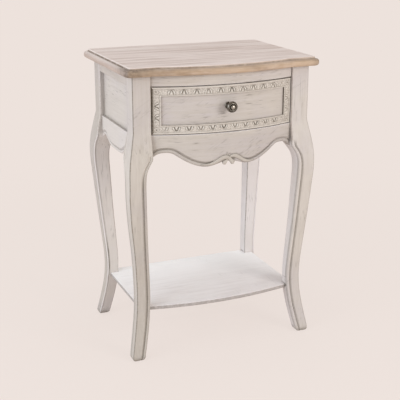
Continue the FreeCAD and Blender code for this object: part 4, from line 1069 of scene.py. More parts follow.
def carve(sizes, along, across, tip, half_length, strip):
    """Height of a carved strip, its glaze and painted shade, and white that paints highlights on its domes.

    Across the strip the ground is an outer fillet, a rounded field and an inner bead over a steep wall. The
    leaves and darts stand along it. They fade before the mitred ends, where a drilled dot with a ring round
    it fills the corner.
    """
    marks = CARVED_MARKS
    section = np.array(STRIP_SECTION) * MILLIMETRE
    ground = np.interp(across, section[:, 0], section[:, 1])
    line = marks.outer_quirk * bump(across - ACROSS.outer_quirk, marks.outer_width)
    line = line + marks.inner_quirk * bump(across - ACROSS.inner_quirk, marks.inner_width)
    # Along the inner foot and the outer side the line is partly painted shade, beside the gaps and the right
    # strip
    line = line + strip.inner * ease(across, *ACROSS.foot)
    line = line + strip.outer * (1 - ease(across, 0.4 * strip.wide, 1.3 * strip.wide))
    field = ease(across, *ACROSS.field_start) * (1 - ease(across, *ACROSS.field_end))
    tooled = tool_marks(along, across)
    motif = leaf_and_dart(sizes, strip, along, across, tip)
    from_end = half_length - np.abs(along)
    fade = ease(from_end, *MOTIF.fade)
    fade = fade + 0.35 * (1 - fade) * (from_end > MOTIF.stop)
    bare = 1 - motif.raised
    depth = fade * motif.sunk * (sizes.carve_depth * bare - MOTIF.proud * motif.raised)
    corner = np.hypot(from_end - CORNER_DOT.inset, across - CORNER_DOT.inset)
    dot = bump(corner, CORNER_DOT.width)
    ring = bump(corner - CORNER_DOT.ring, CORNER_DOT.ring_width)
    ring = ring * ease(across, *ACROSS.ring_start) * (1 - ease(across, *ACROSS.ring_end))
    depth = depth + CORNER_DOT.depth * dot + CORNER_DOT.ring_depth * ring + TOOLING.depth * field * tooled
    uneven = strip.cuts * (0.85 + 0.25 * np.sin(motif.number * 4.3 + 1.0))
    uneven = uneven * (1 - strip.fade * ease(along, *marks.right))
    sway = 3 * np.sin(across / TOOLING.glaze_across + motif.number)
    uneven = uneven * (0.80 + 0.30 * np.sin(along / TOOLING.glaze_along + sway))
    glaze_and_shade = np.maximum(motif.within * np.maximum(motif.cut, 0.25 * motif.sunk * bare), motif.point)
    stain_and_shadow = field * bare * (0.03 + 0.30 * ease(tooled, 0.30, 0.85))
    glaze_and_shade = np.maximum.reduce([fade * uneven * glaze_and_shade, marks.dot * dot, marks.ring * ring, line, stain_and_shadow])
    glaze_and_shade = np.clip(glaze_and_shade, 0, 1)
    # Dry-brushed white on the domes and tool bumps, which also stands in for their highlights
    white = fade * motif.within * np.maximum(0.5 * motif.dart, motif.leaf)
    white = np.maximum(white, 0.5 * field * ease(-tooled, 0.25, 0.8))
    return np.maximum(ground - depth, LEAST_HEIGHT), glaze_and_shade, 0.75 * white * (1 - glaze_and_shade)


def moulding_surface(sizes, bow_rise, side):
    """A carved strip of the drawer's front: a height over the panel, on a grid along and across it.

    Across runs from the drawer's outer edge inwards. Along is scaled by what the mitres leave at that
    distance. The strip's foot and ends go down to the panel, and its back closes it.
    """
    low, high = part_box(f"drawer_moulding_{side}")
    front_low, front_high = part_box("drawer_front")
    level = side in ("top", "bottom")
    width = high.z - low.z if level else high.x - low.x
    half = (front_high.x - front_low.x) / 2 if level else (front_high.z - front_low.z) / 2
    thickness = front_low.y - CASE.bow_front
    tip = sizes.top_tip if side == "top" else sizes.tip
    reach = np.linspace(-1, 1, LINES.strip_level if level else LINES.strip_upright)
    across = np.unique(np.concatenate([np.linspace(0, width, LINES.strip_width),
                                       np.linspace(0, 0.2, 6) * width,
                                       np.linspace(0.95, 1, 7) * width]))[:, None]
    along = reach[None, :] * (half - across)
    across = np.broadcast_to(across, along.shape)
    height, glaze_and_shade, white = carve(sizes, along, across, tip, half, STRIPS[side])
    along, across = np.pad(along, 1, "edge"), np.pad(across, 1, "edge")
    height, glaze_and_shade, white = np.pad(height, 1), np.pad(glaze_and_shade, 1, "edge"), np.pad(white, 1)
    if level:
        x = along
        z = front_high.z - across if side == "top" else front_low.z + across
    else:
        x = front_high.x - across if side == "right" else front_low.x + across
        z = (front_low.z + front_high.z) / 2 + along
    y = bow_at(x, thickness - np.minimum(height, thickness), bow_rise)
    marks = CARVED_MARKS
    # Painted highlight in white on the two crests
    crest = bump(across - ACROSS.outer_crest, marks.outer_crest_width)
    crest = crest + bump(across - ACROSS.inner_crest, marks.inner_crest_width)
    white = np.maximum(white, marks.crest_highlight * crest * (1 - glaze_and_shade))
    if level:
        # Painted light on the rims of the level strips, in the gaps above and below the drawer, and painted
        # shade on the top strip's rim towards the right
        rim = 1 - ease(across, 0.0, ACROSS.rim)
        white = np.maximum(white, rim * (gap_light(x) if side == "top" else 1.0))
        glaze_and_shade = np.maximum(glaze_and_shade, marks.rim_shade * rim * ease(x, *marks.rim_right) * (side == "top"))
    edge = marks.rubbed * crest * (1 - glaze_and_shade)
    return Surface().patch(np.stack([x, y, z], -1), edge, glaze_and_shade, white, round_rows=True)


def turned_surface(profile, tarnish, centre, steps=LINES.turned):
    """A turned piece: a profile of distances out from the panel and radii, spun round a line along Y."""
    out, radius = np.transpose(profile)
    turn = np.linspace(0, 2 * math.pi, steps + 1)[:-1]
    shape = (len(out), steps)
    places = np.stack([centre[0] + radius[:, None] * np.cos(turn),
                       centre[1] - np.broadcast_to(out[:, None], shape),
                       centre[2] + radius[:, None] * np.sin(turn)], -1)
    return Surface().patch(places, 0.0, np.asarray(tarnish)[:, None], round_columns=True)


def knob_profile():
    """Distances out from the rose, radii and tarnish of the knob.

    A flared neck carries a flattened ball with a ring and a boss on its face. The ball and the boss are arcs,
    and all points are shares of the knob's reach and of its radius.
    """
    low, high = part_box("drawer_knob")
    head = (high.x - low.x) / 2
    reach = high.y - low.y
    neck = np.array(((0.00, 0.00), (0.00, 0.58), (0.05, 0.60), (0.10, 0.52), (0.16, 0.42), (0.24, 0.37),
                     (0.34, 0.37), (0.41, 0.44), (0.45, 0.60)))
    turn = np.linspace(math.radians(-52), math.radians(38), 15)
    ball = np.stack([0.70 + 0.25 * np.sin(turn), np.cos(turn) ** 0.62], -1)
    ring = np.array(((0.856, 0.81), (0.854, 0.78), (0.870, 0.755), (0.890, 0.70), (0.893, 0.64),
                     (0.882, 0.58), (0.862, 0.54), (0.856, 0.51)))
    ring_tarnish = (1, 1, 0.85, 0.62, 0.62, 0.85, 1, 1)
    turn = np.linspace(math.radians(85), 0, 10)
    boss = np.stack([0.856 + 0.144 * np.cos(turn), 0.48 * np.sin(turn)], -1)
    boss_tarnish = 0.26 + 0.7 * ease(np.sin(turn), 0.60, 1.0)
    shares = np.vstack([neck, ball, ring, boss])
    tarnish = [np.full(len(neck), 0.85), np.full(len(ball), 0.66), ring_tarnish, boss_tarnish]
    return shares * (reach, head), np.concatenate(tarnish)


def rose_profile():
    """Distances out from the panel, radii and tarnish of the rose, a thin plate with a rim and a step."""
    low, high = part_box("knob_rose")
    radius, reach = (high.x - low.x) / 2, high.y - low.y
    shares = np.array(((0.0, 0.0), (0.0, 0.86), (0.30, 0.86), (0.52, 0.83), (0.64, 0.78), (0.66, 0.74),
                       (0.60, 0.70), (0.66, 0.67), (0.90, 0.63), (1.0, 0.58), (1.0, 0.0)))
    tarnish = (0.7, 0.7, 0.55, 0.35, 0.35, 0.8, 1.0, 0.8, 0.35, 0.4, 0.8)
    return shares * (reach, radius), tarnish


# Finishes


class Bench:
    """A shader node tree, with short ways to put nodes in it and to join them."""

    def __init__(self, tree):
        self.tree = tree

    def node(self, kind, inputs=None, **settings):
        """Adds a node, with its settings and with what feeds its inputs."""
        made = self.tree.nodes.new(kind)
        for key, setting in settings.items():
            setattr(made, key, setting)
        for key, given in (inputs or {}).items():
            self.feed(made.inputs[key], given)
        return made

    def feed(self, socket, given):
        """Joins a socket to another, or sets its value."""
        if isinstance(given, bpy.types.NodeSocket):
            self.tree.links.new(given, socket)
        elif socket.type == "RGBA":
            socket.default_value = tuple(given)[:3] + (1.0,)
        else:
            socket.default_value = given

    def place(self):
        """The place in the piece's own frame."""
        return self.node("ShaderNodeTexCoord").outputs["Object"]

    def noise(self, place, scale, detail=3.0, roughness=0.55):
        """Cloudy noise from 0 to 1 at a place."""
        inputs = {"Vector": place, "Scale": scale, "Detail": detail, "Roughness": roughness}
        return self.node("ShaderNodeTexNoise", inputs).outputs[0]

    def stretched(self, place, scale):
        """A place scaled apart along X, Y and Z."""
        return self.node("ShaderNodeMapping", {"Vector": place, "Scale": scale}).outputs[0]

    def turned(self, place, turn):
        """A place turned about X, Y and Z."""
        return self.node("ShaderNodeMapping", {"Vector": place, "Rotation": turn}).outputs[0]

    def ranged(self, given, low, high, to_low=0.0, to_high=1.0):
        """A value carried from one range to another and held inside it."""
        inputs = {"Value": given, "From Min": low, "From Max": high, "To Min": to_low, "To Max": to_high}
        return self.node("ShaderNodeMapRange", inputs).outputs[0]

    def math(self, operation, first, second=0.0):
        """One step of arithmetic on two values."""
        return self.node("ShaderNodeMath", {0: first, 1: second}, operation=operation).outputs[0]

    def mix(self, factor, first, second, blend="MIX"):
        """A blend of two colours by a factor."""
        inputs = {0: factor, 6: first, 7: second}
        return self.node("ShaderNodeMix", inputs, data_type="RGBA", blend_type=blend).outputs[2]

    def mark(self, name):
        """A mark that the piece's surface carries."""
        return self.node("ShaderNodeAttribute", attribute_name=name).outputs["Fac"]


def new_group(name, inputs, outputs):
    """An empty node group with its named inputs and outputs, the bench in it, its entry and its exit."""
    group = bpy.data.node_groups.new(name, "ShaderNodeTree")
    for way, sockets in (("INPUT", inputs), ("OUTPUT", outputs)):
        for socket, kind in sockets:
            group.interface.new_socket(name=socket, in_out=way, socket_type="NodeSocket" + kind)
    bench = Bench(group)
    entry = bench.node("NodeGroupInput").outputs
    leave = bench.node("NodeGroupOutput").inputs
    return group, bench, entry, leave


def rubbed_paint_group():
    """Brushed paint, glazed in its hollows and rubbed through along its edges.

    Strokes is the place, stretched along the brush. Paint and Shade are blended by long noise, and a wide
    noise and Chill let the Cool coat show; on the shelf Chill is painted shade. Tint lays the White coat on,
    which on some pieces is painted light. Short dashes of noise along the brush and aslant leave scratches as
    strong as
    Marks, Groove lets the Glaze in, which is glaze in the hollows and painted shade in gaps and recesses, and
    Edge with noise on it shows the Wood.
    """
    inputs = (("Place", "Vector"), ("Strokes", "Vector"), ("Paint", "Color"), ("Shade", "Color"),
              ("Cool", "Color"), ("White", "Color"), ("Glaze_and_shade", "Color"), ("Wood", "Color"),
              ("Edge", "Float"), ("Groove", "Float"), ("Tint", "Float"), ("Chill", "Float"),
              ("Marks", "Float"))
    outputs = (("Colour", "Color"), ("Roughness", "Float"), ("Height", "Float"))
    group, bench, entry, leave = new_group("rubbed_paint", inputs, outputs)
    stroke = bench.noise(entry["Strokes"], 1.0, 5.0, 0.62)
    fine = bench.noise(entry["Strokes"], 2.6, 4.0, 0.60)
    patch = bench.noise(entry["Place"], 11.0, 3.0, 0.60)
    wide = bench.noise(entry["Place"], 5.0, 4.0, 0.60)
    speck = bench.noise(entry["Place"], 210.0, 2.0, 0.60)
    chill = bench.math("MULTIPLY", entry["Chill"], bench.ranged(patch, 0.35, 0.65, 0.50, 1.0))
    chill = bench.math("ADD", chill, bench.ranged(wide, 0.46, 0.62, 0.0, 0.70))
    shown = bench.mix(bench.ranged(chill, 0.0, 1.0), entry["Paint"], entry["Cool"])
    tone = bench.math("MULTIPLY", bench.ranged(stroke, 0.42, 0.66),
                      bench.ranged(patch, 0.32, 0.68, 0.15, 0.85))
    shown = bench.mix(tone, shown, entry["Shade"])
    shown = bench.mix(bench.ranged(fine, 0.40, 0.64, 0.0, 0.40), shown, entry["Shade"])
    washed = bench.math("MULTIPLY", entry["Tint"], bench.ranged(patch, 0.30, 0.70, 0.80, 1.10))
    shown = bench.mix(bench.ranged(washed, 0.0, 1.0), shown, entry["White"])
    dash = bench.noise(bench.stretched(entry["Strokes"], (4.5, 4.5, 2.8)), 1.0, 2.0, 0.50)
    slant = bench.turned(entry["Place"], (0.0, 0.55, 0.0))
    nick = bench.noise(bench.stretched(slant, (34.0, 34.0, 380.0)), 1.0, 2.0, 0.50)
    scratch = bench.math("MULTIPLY", bench.ranged(dash, 0.60, 0.70),
                         bench.ranged(patch, 0.46, 0.62, 0.0, 0.52))
    shown = bench.mix(bench.math("MULTIPLY", scratch, entry["Marks"]), shown, entry["Glaze_and_shade"])
    nick = bench.math("MULTIPLY", bench.ranged(nick, 0.61, 0.69),
                      bench.ranged(chill, 0.40, 0.85, 0.0, 0.48))
    shown = bench.mix(bench.math("MULTIPLY", nick, entry["Marks"]), shown, entry["Glaze_and_shade"])
    hollow = bench.math("MULTIPLY", entry["Groove"], bench.ranged(speck, 0.30, 0.70, 0.78, 1.15))
    hollow = bench.ranged(hollow, 0.0, 1.0, 0.0, 0.95)
    shown = bench.mix(hollow, shown, entry["Glaze_and_shade"])
    ragged = bench.math("ADD", bench.ranged(speck, 0.30, 0.70, -0.28, 0.28),
                        bench.ranged(patch, 0.35, 0.65, -0.42, 0.30))
    rubbed = bench.math("ADD", entry["Edge"], bench.math("MULTIPLY", ragged, entry["Edge"]))
    rubbed = bench.ranged(rubbed, 0.55, 1.05, 0.0, 0.75)
    shown = bench.mix(rubbed, shown, entry["Wood"])
    bench.feed(leave["Colour"], shown)
    bench.feed(leave["Roughness"], bench.ranged(stroke, 0.30, 0.70, 0.52, 0.68))
    rough = bench.math("ADD", bench.math("MULTIPLY", stroke, 0.6), bench.math("MULTIPLY", fine, 0.4))
    bench.feed(leave["Height"], bench.math("SUBTRACT", rough, bench.math("MULTIPLY", rubbed, 0.5)))
    return group


def open_grain_group():
    """Open-pored grain along a board: wide figure, long streaks and fine pores, as three masks.

    The figure is the sine of a noise stretched along the board, so its lines follow that noise's contours.
    The streaks and the pores are finer stretched noises, held to a narrow range.
    """
    inputs = (("Board", "Vector"),)
    outputs = (("Figure", "Float"), ("Streak", "Float"), ("Pore", "Float"))
    group, bench, entry, leave = new_group("open_grain", inputs, outputs)
    contour = bench.noise(bench.stretched(entry["Board"], (1.6, 15.0, 15.0)), 1.0, 2.0, 0.45)
    wave = bench.math("SINE", bench.math("MULTIPLY", contour, 46.0))
    bench.feed(leave["Figure"], bench.ranged(wave, -1.0, 1.0))
    streak = bench.noise(bench.stretched(entry["Board"], (3.2, 120.0, 120.0)), 1.0, 4.0, 0.60)
    bench.feed(leave["Streak"], bench.ranged(streak, 0.32, 0.68))
    pore = bench.noise(bench.stretched(entry["Board"], (22.0, 620.0, 620.0)), 1.0, 2.0, 0.50)
    bench.feed(leave["Pore"], bench.ranged(pore, 0.56, 0.70))
    return group


def grain_masks(bench, board):
    """Figure, streak and pore of the grain along a board."""
    grain = bench.node("ShaderNodeGroup", {"Board": board}, node_tree=bpy.data.node_groups["open_grain"])
    return (grain.outputs[name] for name in ("Figure", "Streak", "Pore"))


def empty_bench(holder):
    """The bench of a material or a world, with nothing on it."""
    holder.use_nodes = True
    holder.node_tree.nodes.clear()
    return Bench(holder.node_tree)


def new_material(name):
    """A plain material: its bench and its shader."""
    material = bpy.data.materials.new(name)
    bench = empty_bench(material)
    shader = bench.node("ShaderNodeBsdfPrincipled")
    bench.node("ShaderNodeOutputMaterial", {"Surface": shader.outputs[0]})
    return material, bench, shader


def relief(bench, shader, height, strength, distance):
    """Fine relief from a height."""
    inputs = {"Height": height, "Strength": strength, "Distance": distance}
    bench.feed(shader.inputs["Normal"], bench.node("ShaderNodeBump", inputs).outputs[0])


def paint_material(name, strokes, paint, shade, cool, white, glaze_and_shade, wood, marks=1.0, light_spread=None):
    """Rubbed paint whose brush strokes run along the direction in which the place is stretched least.

    The coats come in by the piece's marks or, where a light spread is given, painted light with the distance
    back and painted shade with the distance to the right and to the front.
    """
    material, bench, shader = new_material(name)
    place = bench.place()
    tint, chill = bench.mark("tint"), bench.mark("cool")
    if light_spread:
        axes = bench.node("ShaderNodeSeparateXYZ", {"Vector": place}).outputs
        tint = bench.ranged(axes["Y"], *light_spread.white)
        chill = bench.ranged(bench.math("SUBTRACT", axes["X"], axes["Y"]), *light_spread.cool)
    given = {"Place": place, "Strokes": bench.stretched(place, strokes), "Paint": paint, "Shade": shade,
             "Cool": cool, "White": white, "Glaze_and_shade": glaze_and_shade, "Wood": wood, "Edge": bench.mark("edge"),
             "Groove": bench.mark("groove"), "Tint": tint, "Chill": chill, "Marks": marks}
    rubbed = bench.node("ShaderNodeGroup", given, node_tree=bpy.data.node_groups["rubbed_paint"])
    bench.feed(shader.inputs["Base Color"], rubbed.outputs["Colour"])
    bench.feed(shader.inputs["Roughness"], rubbed.outputs["Roughness"])
    shader.inputs["Specular IOR Level"].default_value = 0.35
    relief(bench, shader, rubbed.outputs["Height"], 0.35, 0.0006)
    return material


def oak_material(finish, lip_place):
    """Limed oak: lime in the streaks and the pores of the top, and browner worn wood along its front edge.

    Beyond the lip the ends have their own tone, with streaks that run along them.
    """
    material, bench, shader = new_material("limed_oak_top")
    place = bench.place()
    figure, streak, pore = grain_masks(bench, place)
    shown = bench.mix(bench.ranged(figure, 0.0, 1.0, 0.0, 0.65), finish.oak, finish.oak_dark)
    shown = bench.mix(bench.ranged(streak, 0.30, 0.95, 0.0, 0.85), shown, finish.oak_lime_and_highlight)
    shown = bench.mix(bench.ranged(pore, 0.0, 1.0, 0.0, 0.45), shown, finish.oak_dark)
    patch = bench.noise(place, 26.0, 3.0)
    spot = bench.noise(place, 120.0, 3.0)
    across = bench.node("ShaderNodeSeparateXYZ", {"Vector": place}).outputs["X"]
    end_grain = bench.noise(bench.stretched(place, (150.0, 5.0, 150.0)), 1.0, 3.0)
    end = bench.mix(bench.ranged(end_grain, 0.35, 0.65), finish.oak_end, finish.oak_end_dark)
    beside = bench.ranged(bench.math("ABSOLUTE", across), lip_place, lip_place + 0.002, 0.0, 0.85)
    shown = bench.mix(beside, shown, end)
    blotch = bench.noise(bench.stretched(place, (16.0, 70.0, 70.0)), 1.0, 3.0)
    dark = bench.math("ADD", bench.ranged(streak, 0.15, 0.75, 0.35, 0.0),
                      bench.ranged(blotch, 0.46, 0.62, 0.0, 0.6))
    dark = bench.math("MULTIPLY", dark, bench.ranged(across, -0.15, 0.20, 0.64, 0.62))
    worn = bench.mix(dark, finish.oak_edge, finish.oak_edge_dark)
    bare = bench.math("MULTIPLY", bench.mark("tint"), bench.ranged(patch, 0.3, 0.7, 0.80, 1.05))
    shown = bench.mix(bench.ranged(bare, 0.0, 1.0), shown, worn)
    # The edge mark here is a painted highlight in lime on the arrises
    shown = bench.mix(bench.mark("edge"), shown, finish.oak_lime_and_highlight)
    # The groove mark here is the painted shadow under the lip, the painted shade on the nose, and glaze on
    # the worn corners and ends
    hollow = bench.math("MULTIPLY", bench.mark("groove"), bench.ranged(spot, 0.35, 0.65, 0.55, 1.15))
    shown = bench.mix(bench.ranged(hollow, 0.0, 1.0, 0.0, 0.92), shown, finish.oak_dark_and_lip_shadow)
    bench.feed(shader.inputs["Base Color"], shown)
    bench.feed(shader.inputs["Roughness"], bench.ranged(streak, 0.0, 1.0, 0.42, 0.60))
    height = bench.math("SUBTRACT", bench.math("MULTIPLY", streak, 0.4), pore)
    relief(bench, shader, height, 0.30, 0.0004)
    return material


def wood_material(name, light, dark, along):
    """Bare wood: grain that runs along the board that the turn of the place gives."""
    material, bench, shader = new_material(name)
    figure, streak, pore = grain_masks(bench, bench.turned(bench.place(), along))
    shown = bench.mix(bench.ranged(figure, 0.0, 1.0, 0.0, 0.6), light, dark)
    shown = bench.mix(bench.ranged(streak, 0.5, 1.0, 0.0, 0.35), shown, dark)
    shown = bench.mix(bench.ranged(pore, 0.0, 1.0, 0.0, 0.4), shown, dark)
    bench.feed(shader.inputs["Base Color"], shown)
    bench.feed(shader.inputs["Roughness"], bench.ranged(streak, 0.0, 1.0, 0.55, 0.70))
    relief(bench, shader, bench.math("SUBTRACT", streak, pore), 0.25, 0.0004)
    return material


def metal_material(name, bright, dark, smooth, rough):
    """Metal with a mottled tarnish that gathers in the turned grooves."""
    material, bench, shader = new_material(name)
    place = bench.place()
    mottle = bench.noise(place, 260.0, 4.0, 0.6)
    tarnish = bench.math("ADD", bench.mark("groove"), bench.ranged(mottle, 0.40, 0.75, 0.0, 0.3))
    tarnish = bench.ranged(tarnish, 0.0, 1.0)
    bench.feed(shader.inputs["Base Color"], bench.mix(tarnish, bright, dark))
    bench.feed(shader.inputs["Roughness"], bench.ranged(tarnish, 0.0, 1.0, smooth, rough))
    shader.inputs["Metallic"].default_value = 1.0
    relief(bench, shader, mottle, 0.20, 0.0002)
    return material


# Strokes lie level on the rails and panels and stand upright on the legs
LEVEL_STROKES = (7.0, 7.0, 150.0)
UPRIGHT_STROKES = (110.0, 110.0, 6.0)
SHELF_STROKES = (6.0, 90.0, 90.0)
# Start and end of the distances over which the shelf's painted light at the back and painted shade at the
# front right come in, and how much of each shows there
SHELF_LIGHT_SPREAD = SimpleNamespace(white=(-0.06, 0.13, 0.0, 1.0), cool=(0.02, 0.24, 0.0, 0.9))
ALONG_X = (0.0, 0.0, 0.0)
ALONG_Y = (0.0, 0.0, math.pi / 2)


def make_finishes(settings):
    """All materials, by name, made once."""
    finish = settings.finish
    rubbed_paint_group()
    open_grain_group()
    cream = (finish.paint, finish.paint_shade, finish.paint_cool, finish.whitewash_and_light, finish.glaze_and_shade,
             finish.rubbed_wood)
    paint_material("level_paint", LEVEL_STROKES, *cream)
    paint_material("upright_paint", UPRIGHT_STROKES, *cream)
    paint_material("carved_paint", LEVEL_STROKES, finish.paint, finish.paint_shade, finish.paint,
                   finish.carving_white_and_highlight, finish.glaze_and_shade, finish.rubbed_wood)
    # The shelf's white and cool coats are painted light at its back and painted shade at its front right
    paint_material("pale_shelf_paint", SHELF_STROKES, finish.shelf, finish.shelf_shade, finish.shelf_painted_shade,
                   finish.shelf_painted_light, finish.shelf_edge, finish.rubbed_wood, marks=0.4,
                   light_spread=SHELF_LIGHT_SPREAD)
    oak_material(finish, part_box("top_board")[1].x - settings.top.lip_inset)
    wood_material("wood_across", finish.wood, finish.wood_dark, ALONG_X)
    wood_material("wood_deep", finish.wood, finish.wood_dark, ALONG_Y)
    wood_material("drawer_plywood", finish.plywood, finish.plywood_dark, ALONG_X)
    metal_material("knob_pewter", finish.pewter, finish.pewter_dark, smooth=0.10, rough=0.40)
    metal_material("screw_steel", finish.steel, finish.pewter, smooth=0.28, rough=0.45)


def dress(material, *nodes):
    """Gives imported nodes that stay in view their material."""
    for node in nodes:
        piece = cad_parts[node]
        if not piece.material_slots:
            piece.data.materials.append(None)
        for holder in piece.material_slots:
            holder.material = bpy.data.materials[material]


# Operators

SIDES = (("left", -1), ("right", 1))


class NIGHTSTAND_OT_finishes(Operator):
    """Make the paint, oak, wood and metal materials"""

    bl_idname = "nightstand.finishes"
    bl_label = "Finishes"

    def execute(self, context):
        make_finishes(context.scene.nightstand)
        return {"FINISHED"}


class NIGHTSTAND_OT_top_board(Operator):
    """Build the limed top with its lip and rounded nose"""

    bl_idname = "nightstand.top_board"
    bl_label = "Top board"

    def execute(self, context):
        surface = top_surface(context.scene.nightstand.top)
        add_piece("limed_top", surface, "case", ["top_board"], "limed_oak_top")
        return {"FINISHED"}


class NIGHTSTAND_OT_legs(Operator):
    """Build the four cabriole legs with their beads"""

    bl_idname = "nightstand.legs"
    bl_label = "Legs"

    def execute(self, context):
        sizes = context.scene.nightstand.legs
        for end_name, end in (("front", -1), ("back", 1)):
            for side_name, side in SIDES:
                leg = f"{end_name}_{side_name}"
                surface = leg_surface(sizes, side, end, LEG_WEAR_AND_LIGHT[leg])
                add_piece("beaded_leg_" + leg, surface, "case", ["leg_" + leg],
                          "upright_paint")
        return {"FINISHED"}


class NIGHTSTAND_OT_aprons(Operator):
    """Build the beaded aprons and the carved crest"""

    bl_idname = "nightstand.aprons"
    bl_label = "Aprons"

    def execute(self, context):
        sizes = context.scene.nightstand.aprons
        add_piece("carved_front_apron", front_apron_surface(sizes), "case",
                  ["front_apron"], "level_paint")
        for side_name, side in SIDES:
            add_piece("beaded_side_apron_" + side_name, side_apron_surface(sizes, side), "case",
                      ["side_apron_" + side_name], "level_paint")
        return {"FINISHED"}


class NIGHTSTAND_OT_rails(Operator):
    """Build the rails with eased edges and paint the panels"""

    bl_idname = "nightstand.rails"
    bl_label = "Rails and panels"

    def execute(self, context):
        sizes = context.scene.nightstand.aprons
        low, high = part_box("front_top_rail")
        rail = bowed_board("front_top_rail", sizes.board_ease, sizes.bow_rise,
                           (np.linspace(low.x, high.x, LINES.rail)[1:-1], (), ()))
        places = np.concatenate(rail.points)
        # Painted light on the rail's lower face, in the gap above the drawer
        pale = (places[:, 2] < low.z + sizes.board_ease) * gap_light(places[:, 0])
        # Painted light on the rail's front, coming in towards the right
        white = RAIL_MARKS.white * ease(places[:, 0], *RAIL_MARKS.right)
        rail.marks["tint"] = [np.maximum(white, pale)]
        rail.marks["edge"] = [RAIL_MARKS.rubbed * np.concatenate(rail.marks["edge"])]
        add_piece("bowed_top_rail", rail, "case", ["front_top_rail"], "level_paint")
        for node in ("side_top_rail_left", "side_top_rail_right", "back_top_rail", "back_bottom_rail"):
            low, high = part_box(node)
            add_piece("eased_" + node, eased_board(low, high, sizes.board_ease), "case",
                      [node], "level_paint")
        for side in ("left", "right"):
            add_piece("shaded_side_panel_" + side, side_panel_surface(sizes, side), "case",
                      ["side_panel_" + side], "level_paint")
        dress("level_paint", "back_panel")
        return {"FINISHED"}


class NIGHTSTAND_OT_shelf(Operator):
    """Build the shelf with its notches and worn edge"""

    bl_idname = "nightstand.shelf"
    bl_label = "Shelf"

    def execute(self, context):
        settings = context.scene.nightstand
        surface = shelf_surface(settings.shelf, settings.legs)
        add_piece("bowed_shelf", surface, "case", ["shelf"], "pale_shelf_paint")
        return {"FINISHED"}


class NIGHTSTAND_OT_drawer(Operator):
    """Build the carved strips of the drawer and finish its box"""

    bl_idname = "nightstand.drawer"
    bl_label = "Drawer"

    def execute(self, context):
        settings = context.scene.nightstand
        for side in ("top", "bottom", "left", "right"):
            surface = moulding_surface(settings.carving, settings.aprons.bow_rise, side)
            add_piece("carved_moulding_" + side, surface, "drawer",
                      ["drawer_moulding_" + side], "carved_paint", CARVED_CREASE)
        front = drawer_front_surface(settings.carving, settings.aprons)
        add_piece("bowed_drawer_front", front, "drawer", ["drawer_front"], "level_paint")
        dress("wood_deep", "drawer_side_left", "drawer_side_right")
        dress("wood_across", "drawer_back")
        dress("drawer_plywood", "drawer_bottom")
        return {"FINISHED"}


class NIGHTSTAND_OT_knob(Operator):
    """Turn the pewter knob and its rose"""

    bl_idname = "nightstand.knob"
    bl_label = "Knob"

    def execute(self, context):
        for name, node, shape in (("turned_knob", "drawer_knob", knob_profile),
                                  ("turned_rose", "knob_rose", rose_profile)):
            low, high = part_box(node)
            centre = ((low.x + high.x) / 2, high.y, (low.z + high.z) / 2)
            add_piece(name, turned_surface(*shape(), centre), "drawer", [node], "knob_pewter")
        return {"FINISHED"}


class NIGHTSTAND_OT_inside(Operator):
    """Finish the runners, the guides and the fasteners inside the case"""

    bl_idname = "nightstand.inside"
    bl_label = "Inside"

    def execute(self, context):
        for side in ("left", "right"):
            dress("wood_deep", "drawer_runner_" + side, "drawer_guide_" + side, "drawer_kicker_" + side,
                  "top_cleat_" + side)
            dress("wood_across", "drawer_stop_" + side)
        dress("wood_across", "rail_dowels", "shelf_dowels", "drawer_dowels")
        dress("screw_steel", "top_screws", "knob_screw")
        return {"FINISHED"}


class NIGHTSTAND_OT_stage(Operator):
    """Set the floor, the soft light and the camera"""

    bl_idname = "nightstand.stage"
    bl_label = "Stage"

    def execute(self, context):
        stage = context.scene.nightstand.stage
        make_floor(stage)
        make_light(context, stage)
        make_camera(context, stage)
        context.scene.view_settings.view_transform = "Standard"
        return {"FINISHED"}


def seen_rays(bench):
    """1 for the rays that the camera sees by itself, in a gloss or through a clear thing."""
    path = bench.node("ShaderNodeLightPath").outputs
    seen = bench.math("MAXIMUM", path["Is Camera Ray"], path["Is Glossy Ray"])
    return bench.math("MAXIMUM", seen, path["Is Transmission Ray"])


# Half the floor's width, and distances from the middle between which the shadow fades out
FLOOR = SimpleNamespace(reach=30.0, shadow=(0.35, 1.6))
# Point that the lights are turned to, and each light's size and place
STUDIO_AIM = (0.0, 0.0, 0.45)
STUDIO = {
    "key_light": SimpleNamespace(size=0.8, place=(0.95, -1.75, 1.05)),
    "top_light": SimpleNamespace(size=1.2, place=(0.0, 0.25, 2.3)),
    "fill_light": SimpleNamespace(size=1.6, place=(-2.1, -0.6, 1.0)),
}
PLAIN_WHITE = (1.0, 1.0, 1.0)


def make_floor(stage):
    """A wide pale floor whose own colour shows, with a share of the shadow that falls near the nightstand."""
    reach = FLOOR.reach
    corners = np.array(((-reach, -reach, 0), (reach, -reach, 0), (reach, reach, 0), (-reach, reach, 0)))
    mesh = bpy.data.meshes.new("floor")
    mesh.from_pydata(corners, [], [(0, 1, 2, 3)])
    material = bpy.data.materials.new("pale_floor")
    bench = empty_bench(material)
    lit = bench.node("ShaderNodeBsdfDiffuse", {"Color": stage.background}).outputs[0]
    plain = bench.node("ShaderNodeEmission", {"Color": stage.background}).outputs[0]
    far = bench.node("ShaderNodeVectorMath", {0: bench.place()}, operation="LENGTH").outputs["Value"]
    near = bench.ranged(far, *FLOOR.shadow, stage.shadow, 0.0)
    shown = bench.node("ShaderNodeMixShader", {0: near, 1: plain, 2: lit}).outputs[0]
    surface = bench.node("ShaderNodeMixShader", {0: seen_rays(bench), 1: lit, 2: shown}).outputs[0]
    bench.node("ShaderNodeOutputMaterial", {"Surface": surface})
    mesh.materials.append(material)
    floor = bpy.data.objects.new("floor", mesh)
    bpy.context.scene.collection.objects.link(floor)


